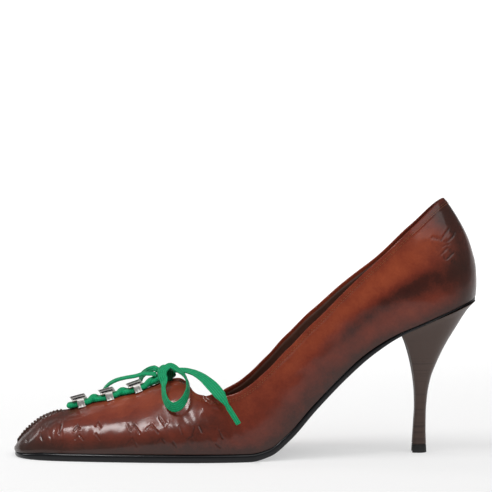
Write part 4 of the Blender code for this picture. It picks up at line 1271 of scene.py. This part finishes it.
def add_leg(plate, way, x, z):
    """Draw one side of a bridge down to the leather as a grooved leg with a spread foot."""
    foot = BRIDGE_OUTER + 0.0009
    foot_y = way * foot * math.cos(BRIDGE_TILT) + BRIDGE_SHIFT
    ground = ((leather_height(x + LEG_MIDDLE, foot_y) - z + FIT_GAP
               - way * foot * math.sin(BRIDGE_TILT)) / math.cos(BRIDGE_TILT))
    edges = [e for e in plate.edges
             if all(abs(v.co.y - way * BRIDGE_OUTER) < 1e-6 for v in e.verts)]
    # Rows of the leg on its way down: height, how far it stands out, its grooves and its spread
    for height, out, groove, spread in ((BRIDGE_CROWN - 0.0026, 0.0006, GROOVE_DEPTH, 1.0),
                                        (ground + 0.0006, 0.0010, GROOVE_DEPTH, 1.0),
                                        (ground + 0.0002, 0.0014, 0.0, 1.12)):
        grown = bmesh.ops.extrude_edge_only(plate, edges=edges)["geom"]
        verts = [g for g in grown if isinstance(g, bmesh.types.BMVert)]
        edges = [g for g in grown if isinstance(g, bmesh.types.BMEdge)
                 and all(v in verts for v in g.verts)]
        for v in verts:
            grooved = min(abs(v.co.x / MM - g) for g in BRIDGE_GROOVES) < 0.05
            v.co.z = height
            v.co.y = way * (BRIDGE_OUTER + out - (groove if grooved else 0.0))
            if spread != 1.0:
                v.co.x = LEG_MIDDLE + (v.co.x - LEG_MIDDLE) * spread


def painted_shade_boxes():
    """A dark box under each slot, open at the top, that paints the shade seen through the slot."""
    inset, below_top, below_floor = 0.05, 0.06, 0.95
    tray = bmesh.new()
    for way in (-1, 1):
        box = bmesh.ops.create_cube(tray, size=2.0)["verts"]
        lid = [f for f in {f for v in box for f in v.link_faces} if f.calc_center_median().z > 0.5]
        bmesh.ops.delete(tray, geom=lid, context="FACES_ONLY")
        for v in box:
            edge, inwards = (SLOT, inset) if v.co.y * way < 0 else (SLOT + 1, -inset)
            end = BRIDGE_ENDS[-2] - inset if v.co.x > 0 else BRIDGE_ENDS[1] + inset
            down = BRIDGE_DROPS[edge] + (below_top if v.co.z > 0 else below_floor)
            v.co = Vector((end, way * (BRIDGE_EDGES[edge] + inwards), BRIDGE_CROWN / MM - down)) * MM
    bmesh.ops.recalc_face_normals(tray, faces=tray.faces)
    bmesh.ops.solidify(tray, geom=tray.faces[:], thickness=0.00003)
    return tray


@operator
class LACEUPHEEL_OT_bridges(bpy.types.Operator):
    """Set the three slotted nickel bridges over the lace"""
    bl_idname = "lace_up_heel.bridges"
    bl_label = "Bridges"

    def execute(self, context):
        for number in range(BRIDGE_COUNT):
            x, z, slope = bridge_place(number)
            seat = (Matrix.Translation((x, BRIDGE_SHIFT, z)) @ Matrix.Rotation(-slope, 4, "Y")
                    @ Matrix.Rotation(BRIDGE_TURN, 4, "Z") @ Matrix.Rotation(BRIDGE_TILT, 4, "X"))
            plate = pierced_plate()
            add_leg(plate, -1, x, z)
            add_leg(plate, 1, x, z)
            bmesh.ops.recalc_face_normals(plate, faces=plate.faces)
            bmesh.ops.solidify(plate, geom=plate.faces[:], thickness=0.00065)
            edges = [e for e in plate.edges if len(e.link_faces) == 2
                     and e.calc_face_angle(0.0) > math.radians(50)]
            bmesh.ops.bevel(plate, geom=edges, offset=0.00016, segments=2, profile=0.5,
                            affect="EDGES", clamp_overlap=True)
            bmesh.ops.transform(plate, matrix=seat, verts=plate.verts)
            finish_piece(f"bridge_{number + 1}", plate, nickel_plate(),
                         (f"lace_bridge_{number + 1}",), sharp=35)
            # Under the slots sits a dark box of painted shade
            tray = painted_shade_boxes()
            bmesh.ops.transform(tray, matrix=seat, verts=tray.verts)
            finish_piece(f"bridge_slot_shade_{number + 1}", tray, painted_slot_shade())
        return {"FINISHED"}


def joined_sides(places, sheets, tones=None):
    """Both sides of the upper as one grid, cut open behind the start of the slit.

    sheets and tones hold an array per side: rows from the sole up, then columns along the shoe.
    """
    outer = len(sheets[-1])
    columns, rows = len(places) - 1, outer + len(sheets[1]) - 1

    def pick(arrays, i, j):
        return arrays[-1][j, i] if j < outer else arrays[1][rows - j, i]

    shell = laid_grid(columns, rows, lambda i, j: pick(sheets, i, j))
    ordered = index_of_grid(columns, rows)
    if tones:
        patina_and_painted_light = shell.verts.layers.float_color.new("patina_and_painted_light")
        for vertex, (i, j) in zip(shell.verts, ordered):
            vertex[patina_and_painted_light] = (*pick(tones, i, j), 1.0)
    shell.verts.index_update()
    opening = []
    for face in shell.faces:
        spots = [ordered[v.index] for v in face.verts]
        if {j for _, j in spots} == {outer - 1, outer} and places[min(spots)[0]] >= SLIT_START:
            opening.append(face)
    bmesh.ops.delete(shell, geom=opening, context="FACES")
    weld(shell)
    return shell


@operator
class LACEUPHEEL_OT_upper(bpy.types.Operator):
    """Draw the leather over the last: toe seam, slit, collar fold, pressed marks and creases"""
    bl_idname = "lace_up_heel.upper"
    bl_label = "Upper"

    def execute(self, context):
        places = leather_places()
        grown = opened(places)[:, None]
        radius = UPPER_WALL / 2 * grown
        sheets, tones = {}, {}
        for side in (-1, 1):
            shaped, normals, _, light, grey = leather_sheet(side)
            top, below, out = shaped[:, -1], shaped[:, -3], normals[:, -1]
            up = (top - below) / np.maximum(np.linalg.norm(top - below, axis=1, keepdims=True), 1e-9)
            # The cut edge turns over the wall, and a facing goes a little way down inside
            rows = list(shaped.swapaxes(0, 1))
            for angle in np.radians((30, 60, 90, 120, 150, 180)):
                rows.append(top + radius * (up * math.sin(angle) - out * (1 - math.cos(angle))))
            for step in (0.0010, 0.0022, 0.0034):
                rows.append(top - out * radius * 2 - up * step * grown)
            sheets[side] = np.array(rows)
            tone = np.stack([light.T, grey.T, np.zeros(light.T.shape)], axis=2)
            cut_edge = tone[-1] + (0.0, 0.0, 1.0)
            tones[side] = np.concatenate([tone, [cut_edge] * (len(rows) - len(tone))])
        shell = joined_sides(places, sheets, tones)
        finish_piece("upper_leather", shell, burnished_calf(), ("upper",))
        return {"FINISHED"}


@operator
class LACEUPHEEL_OT_lining(bpy.types.Operator):
    """Line the inside of the upper"""
    bl_idname = "lace_up_heel.lining"
    bl_label = "Lining"

    def execute(self, context):
        under_edge, inwards, thickness = 0.0024, 0.00150, 0.00030
        places = spaced_places(0.0022, 0.0026, 0.0)
        sheets = {}
        for side in (-1, 1):
            points = np.array([
                rib_points(place, side, np.linspace(
                    0.0, rib_lengths(place, side)[-1] - under_edge * opened(place), LINING_ROWS))
                for place in places])
            sheets[side] = (points - grid_normals(points, side, places) * inwards).swapaxes(0, 1)
        shell = joined_sides(places, sheets)
        bmesh.ops.recalc_face_normals(shell, faces=shell.faces)
        bmesh.ops.solidify(shell, geom=shell.faces[:], thickness=thickness)
        finish_piece("upper_lining", shell, lining_leather())
        return {"FINISHED"}


def stitch(middle, run, out, length, radius, lean=0.0):
    """One stitch as a short bent capsule: middle, its direction, the way out of the leather."""
    run = run.normalized()
    side = run.cross(out).normalized()
    out = side.cross(run).normalized()
    run = (run + side * lean).normalized()
    side = run.cross(out).normalized()
    steps, around = 4, 6

    def shape(i, j):
        swell = math.sin(math.pi * i / steps)
        angle = 2 * math.pi * (j % around) / around
        return (middle + run * (i / steps - 0.5) * length + out * radius * (1.6 * swell - 0.9)
                + (side * math.cos(angle) + out * math.sin(angle)) * radius
                * (0.35 + 0.65 * swell ** 0.5))

    return close_form(laid_grid(steps, around, shape))


def join_forms(forms):
    """Join small forms into one bmesh."""
    whole = bmesh.new()
    for form in forms:
        mesh = bpy.data.meshes.new("part")
        form.to_mesh(mesh)
        form.free()
        whole.from_mesh(mesh)
        bpy.data.meshes.remove(mesh)
    return whole


def line_under_edge(side, distance, first, last):
    """The line that runs at a distance under the top edge, with the normals of the leather there."""
    shaped, normals, from_top, _, _ = leather_sheet(side)
    points, outs = [], []
    for i, place in enumerate(leather_places()):
        if first <= place <= last:
            tops = from_top[i][::-1]
            points.append([np.interp(distance, tops, shaped[i, ::-1, a]) for a in range(3)])
            outs.append([np.interp(distance, tops, normals[i, ::-1, a]) for a in range(3)])
    return np.array(points), np.array(outs)


def stitch_line(points, outs, pitch):
    """Even places along a line, each with its direction and the way out."""
    lengths = running_length(points)
    count = int(lengths[-1] / pitch)
    for k in range(count):
        at = (k + 0.5) * lengths[-1] / count
        here, ahead, out = (Vector([np.interp(at + step, lengths, data[:, a]) for a in range(3)])
                            for data, step in ((points, 0.0), (points, 0.0003), (outs, 0.0)))
        if (ahead - here).length > 1e-7:
            yield here, ahead - here, out


@operator
class LACEUPHEEL_OT_collar_stitches(bpy.types.Operator):
    """Sew the two rows of stitches that hold the folded collar"""
    bl_idname = "lace_up_heel.collar_stitches"
    bl_label = "Collar stitches"

    def execute(self, context):
        leather = settings().leather
        stitches = [stitch(here, run, out, leather.stitch_pitch * 0.70, COLLAR_THREAD)
                    for side in (-1, 1) for distance in COLLAR_ROWS
                    for here, run, out in stitch_line(
                        *line_under_edge(side, distance, 5.0, LAST), leather.stitch_pitch)]
        finish_piece("collar_stitches", join_forms(stitches),
                     waxed_thread("topline thread", tuple(leather.thread)))
        return {"FINISHED"}


@operator
class LACEUPHEEL_OT_seam_stitches(bpy.types.Operator):
    """Whip the raised toe seam with dark thread"""
    bl_idname = "lace_up_heel.seam_stitches"
    bl_label = "Toe seam stitches"

    def execute(self, context):
        leather = settings().leather
        points, outs = line_under_edge(-1, 0.0, 0.0, SLIT_START - 0.1)
        stitches = [stitch(here - out * SEAM_THREAD_SUNK, run.cross(out).normalized(), out,
                           leather.seam_half * 1.9, SEAM_THREAD, lean=0.30)
                    for here, run, out in stitch_line(points, outs, leather.seam_pitch)]
        finish_piece("toe_seam_stitches", join_forms(stitches),
                     waxed_thread("toe seam thread", tuple(leather.seam_thread)))
        return {"FINISHED"}


# Edge of the outsole from the tread up: how far it is drawn in, in millimetres, and its height as a
# share of the sole's thickness. Its last rows are the bevel that meets the upper.
SOLE_EDGE = ((1.20, 0.0), (0.72, 0.015), (0.36, 0.07), (0.12, 0.18), (0.0, 0.36), (0.0, 0.62),
             (0.05, 0.80), (0.12, 0.85), (0.34, 0.93), (0.62, 1.0))
# Edge of the sock: drawn in and height, the same way
SOCK_EDGE = ((0.30, 0.0), (0.05, 0.15), (0.0, 0.55), (0.12, 0.85), (0.50, 1.0))


def layer_rings(edge, across_steps, step, bed, margin):
    """A layer along the foot: rings of edge points joined by strips across."""
    places = spaced_places(step, step, 0.0)
    rows = len(edge)
    around = 2 * rows + 2 * (across_steps - 1)

    def edge_point(place, side, row):
        inset, share = edge[row]
        spot = foot_outline(place, side) + outward(place, side) * (margin(place) - inset * MM)
        bottom, top = bed(spot.x)
        spot.z = bottom + (top - bottom) * share
        return spot

    def across(place, row, step):
        spot = edge_point(place, -1, row).lerp(edge_point(place, 1, row), step / across_steps)
        bottom, top = bed(spot.x)
        spot.z = top if row else bottom
        return spot

    def point(i, j):
        place, j = places[i], j % around
        if j < rows:
            return edge_point(place, -1, j)
        j -= rows
        if j < across_steps - 1:
            return across(place, rows - 1, j + 1)
        j -= across_steps - 1
        if j < rows:
            return edge_point(place, 1, rows - 1 - j)
        return across(place, 0, across_steps - 1 - (j - rows))

    ring = laid_grid(len(places) - 1, around, point)
    weld(ring)
    return ring


@operator
class LACEUPHEEL_OT_outsole(bpy.types.Operator):
    """Cut the thin outsole with its rounded tread edge and bevelled feather"""
    bl_idname = "lace_up_heel.outsole"
    bl_label = "Outsole"

    def execute(self, context):
        form = layer_rings(SOLE_EDGE, 8, 0.0012, lambda x: (sole_underside(x), feather(x)),
                           lambda place: (section("margin", place) * SOLE_MARGIN
                                          - TOE_BULGE * max(0.0, 1.0 - place / 1.5)))
        finish_piece("outsole_leather", form, painted_sole(), ("outsole",), sharp=50)
        return {"FINISHED"}


@operator
class LACEUPHEEL_OT_sock(bpy.types.Operator):
    """Lay the sock on the foot bed"""
    bl_idname = "lace_up_heel.sock"
    bl_label = "Sock"

    def execute(self, context):
        inset = UPPER_WALL + FIT_GAP
        form = layer_rings(SOCK_EDGE, 12, 0.0030,
                           lambda x: (sole_top(x) + FIT_GAP,
                                      sole_top(x) + FIT_GAP + INSOLE_THICKNESS),
                           lambda place: -inset)
        finish_piece("sock", form, sock_leather(), ("insole",))
        return {"FINISHED"}


def heel_slice(name, down):
    return monotone(HEEL_SLICES, HEEL_COLUMNS, "down", name, down)


@functools.cache
def heel_sizes(down):
    end = along_to_x(1.0)
    return (end - heel_slice("back", down) * SEAT_DEPTH,
            end - heel_slice("breast", down) * SEAT_DEPTH, heel_slice("half", down) * BALL_WIDTH)


def heel_ring(down, turn, swell=0.0):
    """Plan point of a heel slice; turn runs 0 to 1 once round, starting mid-breast."""
    back, breast, half = heel_sizes(down)
    back, breast, half = back + swell, breast - swell, half + swell
    side = 1 if turn <= 0.5 else -1
    t = 2 * (turn if turn <= 0.5 else 1 - turn)
    if t <= BREAST_TURN_SHARE:
        share = t / BREAST_TURN_SHARE
        hollow = BREAST_HOLLOW_SHARE * (back - breast) * (1 - share ** 2)
        return Vector((breast + hollow, side * half * BREAST_WIDTH_SHARE * share, 0.0))

    def ahead(angle):
        return powered(math.cos(angle), HEEL_SQUARENESS)

    corner = math.asin(BREAST_WIDTH_SHARE ** (1 / HEEL_SQUARENESS))
    angle = corner + (t - BREAST_TURN_SHARE) / (1 - BREAST_TURN_SHARE) * (math.pi - corner)
    x = back - (back - breast) * (1 + ahead(angle)) / (1 + ahead(corner))
    y = half * math.sin(angle) ** HEEL_SQUARENESS if angle < math.pi else 0.0
    return Vector((x, side * y, 0.0))


def capped_rings(rings, shape):
    """A form of rings that shape(step round, ring) gives, closed at both ends by triangles."""
    form = close_form(laid_grid(HEEL_AROUND, rings, shape))
    bmesh.ops.triangulate(form, faces=[f for f in form.faces if len(f.verts) > 4])
    return form


@operator
class LACEUPHEEL_OT_heel(bpy.types.Operator):
    """Turn the slim stacked heel"""
    bl_idname = "lace_up_heel.heel"
    bl_label = "Heel"

    def execute(self, context):
        levels = 72

        def shape(i, j):
            down, turn = j / levels, (i % HEEL_AROUND) / HEEL_AROUND
            spot = heel_ring(down, turn)
            top = sole_underside(heel_ring(0.0, turn).x) - FIT_GAP
            spot.z = top + (LIFT_HEIGHT + FIT_GAP * 0.5 - top) * down
            return spot

        finish_piece("heel_stack", capped_rings(levels, shape), stacked_heel(),
                     ("heel",), sharp=40)
        return {"FINISHED"}


@operator
class LACEUPHEEL_OT_top_lift(bpy.types.Operator):
    """Fit the top lift that the heel stands on"""
    bl_idname = "lace_up_heel.top_lift"
    bl_label = "Top lift"

    def execute(self, context):
        # Height, and how far the lift is drawn in there, in millimetres
        rows = ((0.0, 0.30), (0.10, 0.08), (0.30, 0.0), (2.4, 0.10), (4.2, 0.22), (4.5, 0.36))

        def shape(i, j):
            height, drawn = rows[j]
            spot = heel_ring(1.0, (i % HEEL_AROUND) / HEEL_AROUND, LIFT_MARGIN - drawn * MM)
            spot.z = height * MM
            return spot

        finish_piece("top_lift_rubber", capped_rings(len(rows) - 1, shape), lift_rubber(),
                     ("top_lift",), sharp=40)
        return {"FINISHED"}


# The floor in metres: where it starts in front, where it bends up behind and on what radius, how
# long it is in all and half its width
FLOOR_FRONT, FLOOR_BEND, BEND_RADIUS, FLOOR_RUN, FLOOR_HALF = -1.6, 1.6, 0.5, 4.2, 4.0
FLOOR_STEPS = 40
WORLD_LIGHT = 0.12
# Soft boxes: name, place, what each looks at, its two sizes in metres, its power in watts, and for a
# box that looks straight down its turn over the floor
LIGHTS = (
    ("main box", (-0.405, -0.27, 0.95), (-0.405, -0.27, 0.0), (0.125, 0.55), 5.0, math.radians(7.0)),
    ("right box", (0.60, -0.60, 1.25), (0.05, 0.0, 0.05), (1.40, 1.10), 9.0, 0.0),
    ("toe box", (-1.10, 0.60, 0.95), (-0.08, 0.0, 0.02), (0.40, 0.40), 2.5, 0.0),
    ("sweep light", (0.0, 0.90, 1.20), (0.0, 2.1, 0.2), (2.40, 0.60), 30.0, 0.0),
)


def sweep_point(i, j):
    """A place of the floor, which bends up behind the shoe."""
    reach = j / FLOOR_STEPS * FLOOR_RUN + FLOOR_FRONT
    past = max(0.0, reach - FLOOR_BEND)
    angle = min(past / BEND_RADIUS, math.pi / 2)
    y = min(reach, FLOOR_BEND) + BEND_RADIUS * math.sin(angle)
    z = BEND_RADIUS * (1 - math.cos(angle)) + max(0.0, past - BEND_RADIUS * math.pi / 2)
    return Vector(((i - 1) * FLOOR_HALF, y, z))


@operator
class LACEUPHEEL_OT_stage(bpy.types.Operator):
    """Lay the pale floor with its sweep and hang the soft lights"""
    bl_idname = "lace_up_heel.stage"
    bl_label = "Stage"

    def execute(self, context):
        sweep = laid_grid(2, FLOOR_STEPS, sweep_point)
        mesh = bpy.data.meshes.new("floor")
        sweep.to_mesh(mesh)
        sweep.free()
        mesh.shade_smooth()
        mesh.materials.append(pale_floor())
        floor = bpy.data.objects.new("floor", mesh)
        context.collection.objects.link(floor)
        for name, place, target, size, power, turn in LIGHTS:
            light = bpy.data.lights.new(name, "AREA")
            light.shape = "RECTANGLE"
            light.size, light.size_y = size
            light.energy = power
            holder = bpy.data.objects.new(name, light)
            holder.location = place
            look = Vector(target) - Vector(place)
            if look.xy.length > 0.01:
                holder.rotation_euler = look.to_track_quat("-Z", "Y").to_euler()
            else:
                holder.rotation_euler = (0.0, 0.0, turn)
            context.collection.objects.link(holder)
        world = bpy.data.worlds.new("studio")
        world.use_nodes = True
        background = world.node_tree.nodes["Background"].inputs
        background["Color"].default_value = (1.0, 1.0, 1.0, 1.0)
        background["Strength"].default_value = WORLD_LIGHT
        context.scene.world = world
        context.scene.view_settings.view_transform = "Standard"
        return {"FINISHED"}


class LACEUPHEEL_PT_panel(bpy.types.Panel):
    """Builders and settings of the shoe"""
    bl_idname = "LACEUPHEEL_PT_panel"
    bl_label = "Lace Up Heel"
    bl_space_type = "VIEW_3D"
    bl_region_type = "UI"
    bl_category = "Lace Up Heel"

    def draw(self, context):
        layout = self.layout
        for builder in BUILDERS:
            layout.operator(builder.bl_idname)
        for group in ("leather", "lace", "sole", "stage"):
            box = layout.box()
            box.label(text=group.title())
            values = getattr(context.scene.lace_up_heel, group)
            for name in values.bl_rna.properties.keys():
                if name not in ("rna_type", "name"):
                    box.prop(values, name)


BUILDERS = (
    LACEUPHEEL_OT_camera, LACEUPHEEL_OT_bow, LACEUPHEEL_OT_lacing, LACEUPHEEL_OT_bridges,
    LACEUPHEEL_OT_upper, LACEUPHEEL_OT_lining, LACEUPHEEL_OT_collar_stitches,
    LACEUPHEEL_OT_seam_stitches, LACEUPHEEL_OT_outsole, LACEUPHEEL_OT_sock, LACEUPHEEL_OT_heel,
    LACEUPHEEL_OT_top_lift, LACEUPHEEL_OT_stage,
)
CLASSES = (LeatherSettings, LaceSettings, SoleSettings, StageSettings, ShoeSettings, *BUILDERS,
           LACEUPHEEL_PT_panel)


def register():
    for each in CLASSES:
        bpy.utils.register_class(each)
    bpy.types.Scene.lace_up_heel = PointerProperty(type=ShoeSettings)


def unregister():
    del bpy.types.Scene.lace_up_heel
    for each in reversed(CLASSES):
        bpy.utils.unregister_class(each)


def main():
    register()
    for builder in BUILDERS:
        group, name = builder.bl_idname.split(".")
        getattr(getattr(bpy.ops, group), name)()


if __name__ == "__main__":
    main()
